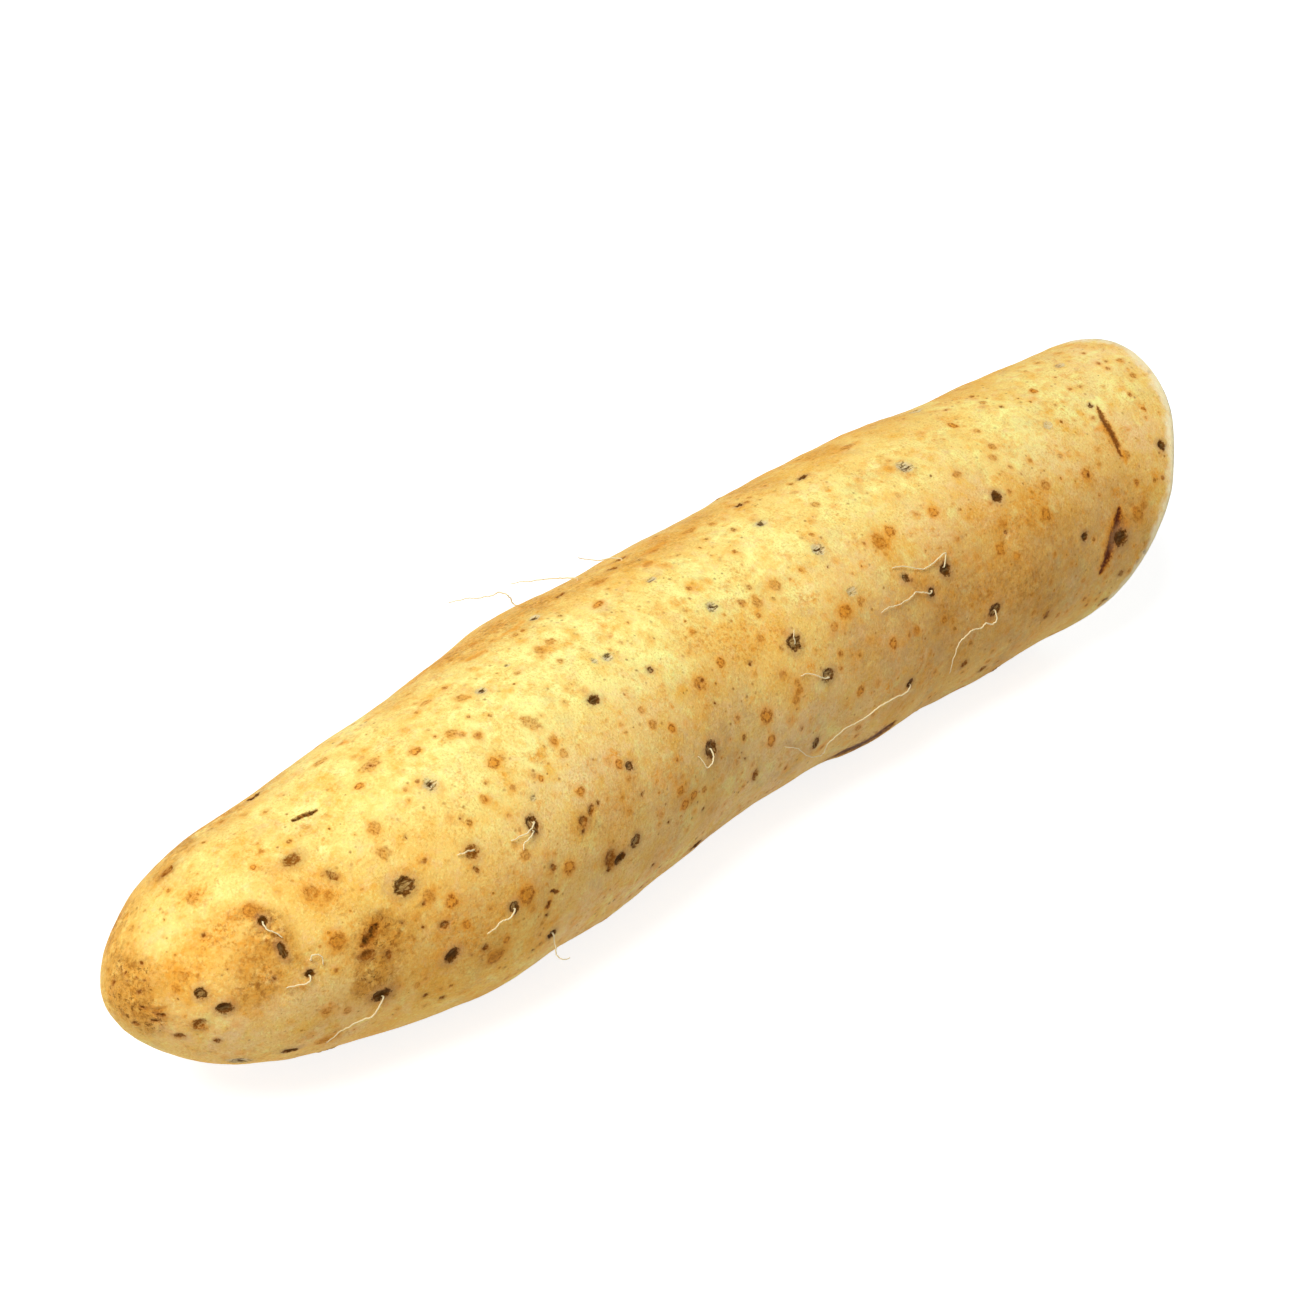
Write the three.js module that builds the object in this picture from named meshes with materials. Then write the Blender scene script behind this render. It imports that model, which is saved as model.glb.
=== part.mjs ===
// A cut length of Chinese yam (nagaimo) lying on its side.
// The rounded growing tip points to -X and the slanting knife cut faces +X; +Z is up.
// The tuber grew as one piece, so it is one solid. The thin fibrous rootlets that
// sprout from its skin are pieces of their own, each a slim tube beside its root scar.
// Units are millimetres. The origin is the centre of the underside of the bounding box.

import * as THREE from "three";

// ---------- driving dimensions ----------

const LENGTH = 279; // tip to the centre of the cut, along the axis
const CENTRE_HEIGHT = 30; // of the axis above the table
const TABLE = 0; // height of the table; the belly is flat where it would pass below it

// Skin radius and sideways bend of the axis at even stations from the tip to the cut.
const STATION_RADII = [17, 22.5, 26.5, 30, 31, 30.5, 31, 30.5, 31.5, 32, 31.5, 31, 30];
const STATION_BENDS = [5, 2, -0.5, -2.5, -1.5, -0.5, 2.5, 1.5, 0.5, 0.5, -2.5, -3.5, -6];
const WIDTH_SHARE = 1.02; // the section is a little wider than it is tall
const HEIGHT_SHARE = 0.98;

// Where the section is out of round: [millimetres from the tip, degrees round from the top
// towards -Y, half length along the axis, height]. A negative height is a dent.
const SWELLINGS = [
  [46, 135, 8, 0.6],
  [81, 130, 9, -0.9],
  [116, -55, 16, 3.6],
  [163, -52, 16, 1.4],
  [172, 134, 8, -0.8],
  [187, 133, 8, 0.6],
  [192, -52, 16, 0.9],
  [228, -48, 10, 1.4],
  [276, 98, 14, 1.1],
];
const SWELLING_SPREAD = 40; // degrees round that a swelling fades over

const TIP_LENGTH = 30; // length of the domed tip
const TIP_POWER = 2.2; // 2 would be an ellipse; more is blunter

// How far the cut runs forward per millimetre above, or towards +Y of, the axis.
const CUT_LEAN_UP = 0.77;
const CUT_LEAN_SIDE = 0.12;
const CUT_LEAN_REACH = 8; // power of the share of the length: only the last rings lean

const TIP_RINGS = 8;
const BODY_RINGS = 36;
const SECTORS = 48;

const ROOTLET_RADIUS = 0.25;
const ROOTLET_SIDES = 5;
const ROOTLET_STEPS_PER_POINT = 3;

// Each rootlet's route: [millimetres from the tip, degrees round from the top towards -Y,
// millimetres of its centre above the skin]. The first point stands over its root scar.
const ROOTLET_ROUTES = [
  [[23.2, 39, 0.6], [23, 42, 1.2], [23.8, 45.5, 1.1], [24.8, 50, 0.7]],
  [[26.4, 72, 0.6], [25.9, 73.6, 1], [23.9, 74, 0.9], [21.8, 73.4, 0.7]],
  [[27.5, 64.5, 0.6], [28, 62.5, 1.2], [29.3, 64.5, 1.3], [29, 69, 0.8]],
  [
    [39.3, 97.5, 0.6], [37.3, 104.5, 1.2], [35.4, 105.8, 1], [33.8, 106.8, 0.9], [31.2, 111, 0.8],
    [29, 118, 0.7],
  ],
  [[78.2, 54, 0.6], [76, 55.3, 1.3], [72.8, 55.3, 1], [71.6, 55, 0.8]],
  [[77.2, 56.5, 0.6], [75.5, 57.5, 1.2], [73.8, 58.5, 1], [73.2, 60.5, 0.7]],
  [[64, 51.5, 0.6], [62.6, 50.8, 1.2], [61.4, 50.6, 1], [60.4, 50.4, 0.7]],
  [[67.8, 80, 0.6], [66, 81.6, 1.2], [64.3, 81.4, 1], [63, 83.3, 0.8], [61, 84.5, 0.7]],
  [
    [77.9, 103, 0.6], [78, 105.5, 1.1], [77.3, 107.5, 2.4], [77, 109, 3.6], [77.6, 109.5, 4.7],
    [79.5, 110, 5.2],
  ],
  [
    [128, 71, 0.6], [127.3, 73.5, 1.3], [126.1, 75, 1.4], [124.7, 75.2, 1.3], [124.3, 72.5, 1.2],
    [123.5, 68.8, 0.8],
  ],
  [[160.2, 53, 0.6], [160, 50.5, 1.6], [160.4, 48, 2.2]],
  [[165.8, 72.3, 0.6], [164.3, 71.3, 1.1], [162.3, 68.7, 1.2], [159.8, 65.8, 1], [158.1, 65.8, 0.7]],
  [
    [190.2, 95.5, 0.6], [188.1, 96.9, 1.1], [185.2, 96.5, 1], [181, 96.5, 1], [177.9, 98.5, 1.1],
    [174.3, 100, 1], [170, 100.5, 1], [167.4, 101.9, 1.1], [165.6, 104, 1], [165, 109, 1.2], [162, 108, 1],
    [158.5, 103, 1], [155, 96, 0.9], [150.7, 91, 0.7],
  ],
  [
    [206.1, 56, 0.6], [206.9, 51.5, 1.6], [204.2, 52.2, 1.4], [200.3, 52.7, 1], [198.9, 51.7, 1],
    [197, 49.8, 1], [193.9, 46.6, 0.9], [192.3, 45.8, 0.7],
  ],
  [
    [200.2, 62, 0.6], [198.8, 62.2, 1.1], [197, 60.3, 1.1], [195.3, 58.8, 1], [193.6, 59.4, 1],
    [190.3, 59.5, 1], [188, 59, 0.9], [186.4, 58.3, 0.9], [183.8, 58.7, 0.7],
  ],
  [
    [218.6, 83.5, 0.6], [218.4, 86.8, 1.3], [217.2, 88, 1.2], [215.3, 86.2, 1.1], [214, 87.3, 1],
    [211, 86.2, 1], [208.3, 87.4, 1.1], [206.4, 89, 1], [205.6, 93, 1], [205.2, 98.4, 0.9],
    [205.9, 103.6, 0.7],
  ],
  [[148, -24, 0.6], [146, -26, 1.4], [144, -28, 1.8], [142, -30, 3], [140, -30.5, 4.2]],
  [[137, -29, 0.6], [134.5, -33, 1.8], [132, -36.5, 2.8], [129, -41, 4], [127, -45, 5]],
  [
    [131, -55, 0.6], [130, -55.5, 1.8], [129, -53.5, 3.6], [128, -54.5, 5.4], [126.5, -57, 6],
    [125, -60, 7.6], [124, -61.5, 9], [122.5, -63, 10.2], [121, -64, 11.2],
  ],
  [[62, -92, 0.6], [58, -97, 1.2], [54, -99, 1], [50, -104, 0.8]],
  [[112, -112, 0.6], [109, -106, 1.3], [105, -104, 1.1], [101, -106, 0.8]],
  [[175, -88, 0.6], [179, -93, 1.3], [184, -94, 1], [188, -99, 1.2], [191, -98, 0.7]],
  [[228, -118, 0.6], [225, -111, 1.4], [221, -108, 1.1], [217, -109, 0.8]],
  [[252, -75, 0.6], [249, -80, 1.3], [246, -79, 0.8]],
];

// ---------- materials ----------

const skinMaterial = new THREE.MeshStandardMaterial({ color: 0xe6c184, roughness: 0.62, metalness: 0 });
const rootletMaterial = new THREE.MeshStandardMaterial({ color: 0xf2dfb4, roughness: 0.7, metalness: 0 });

// ---------- the tuber's surface ----------

// A smooth value between even stations (uniform Catmull-Rom, straight on past both ends).
function between(stations, share) {
  const last = stations.length - 1;
  const at = THREE.MathUtils.clamp(share, 0, 1) * last;
  const i = Math.min(Math.floor(at), last - 1);
  const t = at - i;
  const [b, c] = [stations[i], stations[i + 1]];
  const a = i > 0 ? stations[i - 1] : 2 * b - c;
  const d = i < last - 1 ? stations[i + 2] : 2 * c - b;
  return 0.5 * (2 * b + (c - a) * t + (2 * a - 5 * b + 4 * c - d) * t ** 2 + (3 * b - a - 3 * c + d) * t ** 3);
}

// Radius of the skin, with the domed tip closing it at the axis.
function skinRadius(along) {
  const intoTip = THREE.MathUtils.clamp(along / TIP_LENGTH, 0, 1);
  const dome = Math.sqrt(1 - (1 - intoTip) ** TIP_POWER);
  return between(STATION_RADII, along / LENGTH) * dome;
}

// How far the swellings push the skin out at a place.
function swelling(along, angle) {
  let height = 0;
  for (const [centre, degrees, halfLength, most] of SWELLINGS) {
    const turn = angle - THREE.MathUtils.degToRad(degrees);
    const round = Math.atan2(Math.sin(turn), Math.cos(turn)) / THREE.MathUtils.degToRad(SWELLING_SPREAD);
    height += most * Math.exp(-(((along - centre) / halfLength) ** 2) - round ** 2);
  }
  return height;
}

// A point of the skin at an angle from the top towards -Y, or at a share of the way out to it,
// with a lift above it. The radius is that of the skin without its swellings.
function place(along, angle, radius, share = 1, lift = 0) {
  const out = (radius + swelling(along, angle)) * share;
  const lean = (along / LENGTH) ** CUT_LEAN_REACH * out;
  return new THREE.Vector3(
    along + lean * (CUT_LEAN_UP * Math.cos(angle) - CUT_LEAN_SIDE * Math.sin(angle)),
    between(STATION_BENDS, along / LENGTH) - (out * WIDTH_SHARE + lift) * Math.sin(angle),
    CENTRE_HEIGHT + (out * HEIGHT_SHARE + lift) * Math.cos(angle),
  );
}

// ---------- the tuber ----------

function makeTuber() {
  const profile = [];
  for (let i = 0; i <= TIP_RINGS; i++) {
    const along = TIP_LENGTH * (1 - Math.cos((Math.PI / 2) * (i / TIP_RINGS)));
    profile.push(new THREE.Vector2(skinRadius(along), along));
  }
  for (let i = 1; i <= BODY_RINGS; i++) {
    const along = TIP_LENGTH + ((LENGTH - TIP_LENGTH) * i) / BODY_RINGS;
    profile.push(new THREE.Vector2(skinRadius(along), along));
  }
  profile.push(new THREE.Vector2(0, LENGTH));

  // The lathe turns the profile about Y; each vertex then moves to the bent, leaning tuber.
  const geometry = new THREE.LatheGeometry(profile, SECTORS);
  const position = geometry.getAttribute("position");
  const vertex = new THREE.Vector3();
  for (let i = 0; i < position.count; i++) {
    vertex.fromBufferAttribute(position, i);
    const radius = Math.hypot(vertex.x, vertex.z);
    const moved = place(vertex.y, Math.atan2(vertex.x, vertex.z), radius, radius > 0.001 ? 1 : 0);
    position.setXYZ(i, moved.x, moved.y, Math.max(moved.z, TABLE));
  }
  geometry.computeVertexNormals();

  const tuber = new THREE.Mesh(geometry, skinMaterial);
  tuber.name = "tuber";
  return tuber;
}

// ---------- the rootlets ----------

function makeRootlet(route, number) {
  const points = route.map(([along, degrees, lift]) =>
    place(along, THREE.MathUtils.degToRad(degrees), skinRadius(along), 1, lift),
  );
  const section = new THREE.Shape();
  for (let i = 0; i < ROOTLET_SIDES; i++) {
    const turn = (2 * Math.PI * i) / ROOTLET_SIDES;
    const [x, y] = [ROOTLET_RADIUS * Math.cos(turn), ROOTLET_RADIUS * Math.sin(turn)];
    if (i === 0) section.moveTo(x, y);
    else section.lineTo(x, y);
  }
  section.closePath();

  const geometry = new THREE.ExtrudeGeometry(section, {
    extrudePath: new THREE.CatmullRomCurve3(points),
    steps: (points.length - 1) * ROOTLET_STEPS_PER_POINT,
  });
  const rootlet = new THREE.Mesh(geometry, rootletMaterial);
  rootlet.name = `rootlet_${String(number).padStart(2, "0")}`;
  return rootlet;
}

// ---------- the part ----------

const yam = new THREE.Group();
yam.add(makeTuber());
ROOTLET_ROUTES.forEach((route, index) => yam.add(makeRootlet(route, index + 1)));

// The origin goes to the centre of the bounding box's underside.
const box = new THREE.Box3().setFromObject(yam, true);
const centre = box.getCenter(new THREE.Vector3());
yam.position.set(-centre.x, -centre.y, -box.min.z);

export default yam;
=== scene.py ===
"""A cut length of Chinese yam (nagaimo): its skin, root scars, cut face and rootlets.

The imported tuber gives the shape. This script grows a fine skin over it, with pits, rims and slits
modelled in the mesh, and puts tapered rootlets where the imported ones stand. Lengths in the lists
below are millimetres; a place on the skin is (millimetres from the tip along the axis, degrees
round from the top towards -Y).
"""

import math
import random
from functools import cached_property
from typing import NamedTuple

import bmesh
import bpy
import numpy as np
from bpy.props import FloatProperty, FloatVectorProperty, IntProperty, PointerProperty
from bpy.types import Operator, Panel, PropertyGroup
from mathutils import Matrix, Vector, noise


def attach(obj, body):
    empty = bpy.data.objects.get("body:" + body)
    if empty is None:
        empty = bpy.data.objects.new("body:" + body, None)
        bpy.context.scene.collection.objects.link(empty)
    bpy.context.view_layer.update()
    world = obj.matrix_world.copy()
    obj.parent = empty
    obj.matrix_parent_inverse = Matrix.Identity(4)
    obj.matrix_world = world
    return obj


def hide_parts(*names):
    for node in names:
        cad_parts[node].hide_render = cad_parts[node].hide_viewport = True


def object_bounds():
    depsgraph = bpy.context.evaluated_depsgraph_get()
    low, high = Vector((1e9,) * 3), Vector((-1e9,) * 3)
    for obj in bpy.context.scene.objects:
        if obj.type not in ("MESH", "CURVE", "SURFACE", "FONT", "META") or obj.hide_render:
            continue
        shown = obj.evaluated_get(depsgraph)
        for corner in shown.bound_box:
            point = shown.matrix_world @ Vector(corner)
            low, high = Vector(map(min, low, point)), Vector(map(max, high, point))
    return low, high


bl_info = {
    "name": "Yam Tuber",
    "version": (1, 0, 0),
    "blender": (4, 5, 0),
    "location": "View3D > Sidebar > Yam",
    "description": "Grows the skin, cut face and rootlets of a yam tuber over its packed shape",
    "category": "Add Mesh",
}

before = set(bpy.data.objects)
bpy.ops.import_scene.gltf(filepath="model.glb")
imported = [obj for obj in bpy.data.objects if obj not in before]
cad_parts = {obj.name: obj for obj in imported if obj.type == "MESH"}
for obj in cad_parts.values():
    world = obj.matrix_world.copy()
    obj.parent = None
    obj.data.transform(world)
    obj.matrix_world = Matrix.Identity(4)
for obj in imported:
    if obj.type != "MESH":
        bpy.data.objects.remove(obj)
CAD_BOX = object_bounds()

MM = 0.001  # metres in a millimetre

# ---------------------------------------------------------------- marks on the skin

FAR = 4.0  # a mark's distance, in its own radii, where nothing of it shows


class Mark(NamedTuple):
    """A round or oval mark. Turn is the degrees from the axis to its long side."""

    along: float
    around: float
    width: float
    stretch: float = 1.0
    turn: float = 0.0


# Root scars, by how they look: solid black, a dark ring round pale fibres, a dark core in a grey
# shade, a pale grey shade alone, solid brown, and tiny dark specks. Each row is a Mark.
ROOT_SCARS = {
    "black": [
        (53.7, 88.5, 2.5, 1.3, -29), (39, 95.5, 2.5, 1.5), (23.6, 55.3, 1.5, 2, 84),
        (12.2, 76.5, 2.2, 1.3), (22.7, 119, 1.6, 1.9), (43.4, -31.5, 1.4, 2.2), (77.9, 103.5, 2),
        (96.4, 86.6, 1.9, 1.8, -10), (125.3, 117, 2, 1.8), (206.1, 57.4, 2.9), (214.4, 11.5, 2.1),
        (227.4, 39.8, 2.6), (263, 82, 3.6, 1.15), (275, 53.2, 2.4), (190.2, 94.4, 1.9), (23.3, 38.5, 1.8),
        (196.5, -11.5, 1.6, 1.5), (179.8, -17.5, 1.4, 1.3), (271.5, 114, 1.4, 1.6),
        (107.2, 28.4, 2, 1.35), (26.5, 71, 1.7), (200.2, 62.4, 2), (249.6, 73, 2.1),
    ],
    "ring": [
        (48.9, 52.2, 3.2, 1.25), (77.8, 54.3, 2.5, 1.35, 97), (9.7, 62, 2.1), (67.8, 79, 1.9, 1.2, 90),
        (101.5, 84, 2.2, 1.25, -28), (105.6, 56.3, 1.8), (128, 71, 3.2, 1.1, 90), (160, 52.7, 3.4),
        (165.8, 71.3, 2.6, 1.2), (194.8, 52.2, 2), (218.5, 83, 2.6, 1.3, -20), (262, 23.7, 1.4),
        (123.8, 31.3, 1.4), (161.8, 100.5, 1.9, 1.6, 90),
    ],
    "grey": [
        (64.8, 22, 2.7), (117.8, 17.2, 2, 1.3), (147.7, 25.2, 2.6), (179.6, 24.5, 3),
        (90.2, -0.5, 2, 1.3), (117.3, -20, 1.9, 1.4), (214.4, 11.5, 3.6, 1.1), (175.8, 0.8, 2, 1.6),
        (143.8, 0, 1.3, 2.3),
    ],
    "pale": [
        (180.1, 46, 2, 1.3), (250.3, 23, 2.3, 1.2), (236.5, -24, 1.9, 1.9), (265.8, -4.7, 1.6, 2),
        (81, 46.5, 1.4), (114.8, 15.5, 1.6), (100.3, -5, 1.2),
    ],
    "brown": [
        (148.8, -26.5, 1.4, 2.2), (131, -54, 1.3, 1.5), (34.5, 20, 2.4, 1.5), (38.5, 35, 1.5, 1.6, 70),
        (8.3, 88, 2.1, 1.3, -40), (5.8, 104.5, 1.4, 1.5), (10.8, 106, 1.3), (37.4, 72.6, 1.9, 1.5),
        (41.5, 77, 1.2, 1.5, 90), (63.6, 52, 2.6), (62.9, 58.5, 1, 1.7, 71), (89.3, 64, 2),
        (92.2, 62.2, 1.2, 1.9, 140), (78.8, 72.7, 1.3, 1.2, 90), (93.8, 84.5, 2.9, 1.3, 90),
        (105.9, 69.3, 0.7, 2.2, 105), (139, 86.2, 1), (142.2, 97, 1.6, 1.6, 90), (239.6, 100.5, 1.9),
        (222, 117, 1.4, 1.8), (60.7, 91, 1.3), (19.6, -23, 1.6, 1.7), (143.5, -20.5, 1.4, 1.8),
        (186, -42, 1.2, 2), (269.5, 100, 1.3, 1.4), (128.5, -24, 1.4, 1.8), (53.4, 74, 1.4, 1.3),
        (211.3, 103.6, 1.8),
    ],
    "speck": [
        (3.6, 22, 0.4, 2.2, 90), (3.2, 5, 0.5, 1.6), (2.6, 15, 0.4, 2, 60), (4.2, 30, 0.4, 1.8, 40),
        (2.8, 38, 0.6, 1.3), (2.2, 60, 0.5, 1.8, 30), (4, 76, 0.7, 2.6, 10), (3, 84, 0.6, 2.4),
        (5.8, 80, 0.4, 1.8, 20), (1.6, -10, 0.6, 1.6), (6.6, 62, 0.3, 2.2, 80), (7, 18, 0.3, 1.6, 90),
        (1.2, 100, 0.7, 2), (14.5, 28.5, 0.9), (20.7, 67, 0.7, 1.5, 90), (27.6, 62.3, 0.5),
        (14.5, 53, 0.5), (11.5, 49, 0.5), (13.3, 55, 0.5), (5.3, 14, 0.6, 1.5, 90), (4.6, 8, 0.5),
        (22.5, 78, 0.7), (44.6, 40, 0.5), (43, 44, 0.4), (47.3, 62.5, 0.7), (51, 62.5, 0.8),
        (46.5, 73, 0.6), (49.5, 71.5, 0.8), (57.5, 92, 0.8), (54, 35.5, 0.5, 1.6, 80), (54.5, 47, 0.5),
        (63.5, 35, 0.5), (65.4, 39, 0.9), (75.2, 41, 0.5), (74, 38.5, 0.5), (73, 40, 0.4), (60, 0, 0.7),
        (60.5, 5.5, 0.5), (57.3, -1.5, 0.4), (88.5, 67.5, 0.9), (94.6, 61.6, 0.7, 1.6, 120),
        (93.4, 88.5, 1.2), (96, 70, 0.6), (76.3, 86.5, 0.8, 2, 130), (76, 91, 0.8), (87, 97, 0.6),
        (104, 42, 0.45, 2.6, 30), (116.4, 38.5, 0.5), (119, 31.2, 0.6), (127.7, 30.7, 0.5),
        (144.4, 43.5, 0.7), (147.4, 52, 0.9), (135.8, 52, 0.7), (134, 57, 0.8), (133.6, 47, 0.8),
        (132, 48.4, 0.6), (137.7, 82.4, 0.8), (121.6, 88.3, 0.8), (112, 86.8, 0.8), (156.3, 86.5, 0.7),
        (154.5, 29, 0.5), (225.8, 54.7, 0.9), (229, 55, 0.7), (220, 45.5, 0.6), (178.8, 32.4, 0.8),
        (194.6, 87, 0.6), (100.8, 20.5, 0.6), (217.3, 20.3, 0.6), (253.4, 50.2, 0.9), (254, 55, 0.7),
        (46, 66, 0.8), (266.9, 62.7, 0.6), (228.5, 49, 0.5), (231, 62, 0.5), (246, 59, 0.6),
        (102.5, 73, 0.6), (98, 76, 0.6), (73, 107, 0.9), (66, 108, 0.9), (48.5, 106, 1.1),
        (52.5, 112, 1.1), (108, 104, 0.9, 1.6), (111, 110, 0.8, 1.8), (124, 94, 1), (277, 95, 1.1),
        (80.4, 15, 0.5), (207, 16, 0.6), (149, -15.5, 1), (150.5, 80.5, 0.5), (191, 77, 0.5),
        (204, 68, 0.5),
    ],
}

# How each kind of scar looks: how dark it is, how hollow its middle is, and how brown.
SCAR_LOOKS = {
    "black": (1, 0.1, 0),
    "ring": (0.9, 0.6, 0),
    "grey": (0.35, 0, 0),
    "pale": (0.15, 0, 0.15),
    "brown": (0.7, 0.1, 1),
    "speck": (0.8, 0, 0.75),
}

# Rust spots: strong ones with a ring, and soft ones without. Each row is a Mark.
RUST_SPOTS = {
    "strong": [
        (267.9, 75.2, 2.3, 1.5, 60), (22.8, 31.4, 2.4, 1.3, 60), (63.2, 98.5, 2.6, 1.4, -20),
        (33.2, 61.5, 3), (57.6, 77.5, 1.7), (68.2, 6.2, 1.6, 1.7), (78.5, 27.7, 2.4), (71.2, 76.8, 3.3),
        (82.6, 76.8, 2.7), (91.6, 54.3, 1.9), (103.3, 53.7, 1.9), (120.5, 83.4, 2), (117.6, 84.8, 2.2),
        (116.6, 77.2, 1.7), (140.4, 45.6, 2), (146.5, 73.8, 2.8, 1.2, 60), (147, 85.3, 2.2, 1.2, 90),
        (174.7, 85.7, 1.9, 1.2, 90), (175.8, 51.4, 2.4, 1.4), (185.4, 72.9, 2.2, 1.1, 90),
        (198.1, 33, 2.5), (211, 35.5, 2.3), (222.8, 60.5, 2.1, 1.2, 90), (226.7, 65.5, 1.9),
        (233.8, 0, 1.6, 1.7, 85), (252.7, 49.3, 2.3), (237.9, 55.7, 2.7), (266.9, 62.7, 1.6),
        (272.6, 35.6, 1.4), (128.9, -4.6, 1.4, 2, -5), (56, 66, 2.4), (120, 53.9, 1.8), (28.6, 13, 1.2),
        (54.8, 6, 1.5, 1.4), (76.3, 86.5, 1.2, 1.8, 130), (65.5, 92, 1.4, 1.3, 90), (202.5, 75.9, 1.6),
        (255.4, 3.3, 1.6, 1.3, 80), (85, 42, 1.3),
    ],
    "soft": [
        (50.5, 26, 2.6), (49, 37, 2.6), (52.5, 60.5, 2.6), (35.6, 42, 2.2), (33.5, 37, 3), (17.5, 6, 2.6),
        (60, 0, 3, 1.3), (56.4, -20.5, 1.8, 1.8), (73.5, 62.5, 2), (71.5, 37, 1.6), (93, 39, 2),
        (76.8, 8, 2.4), (80.3, 15.5, 1.8), (108.2, -2.4, 2.5), (112, -3.5, 2), (108.8, 7.5, 1.5),
        (91.5, 23, 3, 1.4, 60), (93, 33, 2), (81, -13, 1.4, 2), (86, -3, 2.4), (132.6, 47.5, 3),
        (116, 48.3, 2), (115.5, 41.5, 1.6), (157, 67.5, 1.6), (157.3, 71, 1.5), (154, 62, 2),
        (153, 45, 1.8), (137, -15.5, 1.8, 2), (164.9, 28.7, 2.8), (154.7, 29, 2), (158, 32, 2.4),
        (165.5, -19, 1.7, 2.4), (154, -17, 1.3, 2.6), (181, 51, 2), (171.5, 55, 1.9), (194, 34.5, 3.6),
        (193, 73, 2), (155.5, 74, 2), (217.5, 75, 1.6), (213.5, -16.5, 2.2, 2), (189.7, 5.8, 1.9),
        (222.6, 24.6, 2.2), (236, 9, 1.6), (235.3, 19.5, 2), (233.2, 24, 2), (244.8, -4.2, 1.8),
        (275, 8.5, 1.8), (274.5, 19, 2), (241, 45, 2.6), (269.8, 73, 2), (225.9, 51, 2), (176, 106, 2),
        (28.5, 94, 2), (32.5, 98, 1.8), (29, 118, 2, 1.8), (46.5, 98, 1.5), (252, 93, 1.4),
        (124.3, 85, 1.6), (78.2, 11.2, 1.5), (8.5, 45, 2), (7, 52, 1.6), (99.5, 1.5, 1.3), (262, 37, 2),
        (265, 50, 2),
    ],
}

# How each kind of rust spot looks: how strong it is, and how clear its ring.
RUST_LOOKS = {"strong": (1, 1, 0), "soft": (0.5, 0.2, 0)}


class LineMark(NamedTuple):
    """A crack or scratch along a line of (along, around) places; one of them is a painted shadow stripe."""

    places: tuple
    width: float
    dark: float
    warm: float


SLITS_AND_SHADOW_STRIPE = [
    LineMark(((2, 60), (2.8, 65), (3.6, 68.5), (4.8, 67)), 0.9, 0.4, 0.5),
    LineMark(((3, 72), (3.8, 73)), 0.8, 0.5, 0.2),
    LineMark(((40.3, 2), (42.4, 2.7), (46.2, 4.8)), 1.1, 0.85, 0),
    LineMark(((76.1, 80.4), (78, 82.3), (79.7, 85)), 0.7, 0.8, 0.2),
    LineMark(((41.8, 62.3), (40.2, 63.5), (38.3, 66.4), (37.2, 68.5)), 2, 0.8, 0.5),
    LineMark(((263.4, 25), (262.6, 32), (262.9, 37), (263.2, 43), (263.6, 50)), 1.6, 0.7, 0.74),
    LineMark(((263.5, 44), (263.9, 49), (264.4, 53)), 0.9, 0.25, 1),
    LineMark(((264.2, 40), (266, 39.6), (268, 41)), 0.7, 0.3, 1),
    LineMark(((261.5, 34), (259.5, 35)), 0.8, 0.2, 1),
    LineMark(((261.8, 69), (260.8, 77), (260.2, 81), (259.8, 86), (259, 95)), 2.7, 1, 1),
    LineMark(((263.2, 74), (263.4, 77), (263.2, 80)), 2, 0.4, 1),
    # painted shadow: a wide dark stripe along the lower edge, where the tuber meets the floor, laid like a
    # crack
    LineMark(
        ((174, 130), (177, 128), (180, 126.5), (183, 125), (185.5, 122.5), (187.7, 119.5), (189.5, 116)),
        5.6, 1, 0,
    ),
    LineMark(((67.2, -18), (69.4, -15.5)), 0.5, 0.35, 0.2),
    LineMark(((196, -38), (210, -38), (226, -37), (240, -40)), 0.8, 0.3, 0.6),
    LineMark(((214, -31), (230, -32), (244, -34)), 0.6, 0.25, 0.6),
    LineMark(((238, -43), (252, -41), (264, -42)), 0.7, 0.35, 0.5),
    LineMark(((97, -22), (100, -20.5), (103.5, -19.5)), 0.9, 0.3, 1),
    LineMark(((103, -31), (106, -30)), 1.1, 0.35, 0.8),
    LineMark(((108.5, -22.5), (112, -21.5), (116, -22.5)), 0.7, 0.25, 1),
    LineMark(((146.5, -9), (148, -9.5), (149.8, -10)), 1.2, 0.35, 1),
    LineMark(((150, -18), (156, -19.5), (160, -19)), 0.8, 0.25, 0.8),
]
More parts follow.
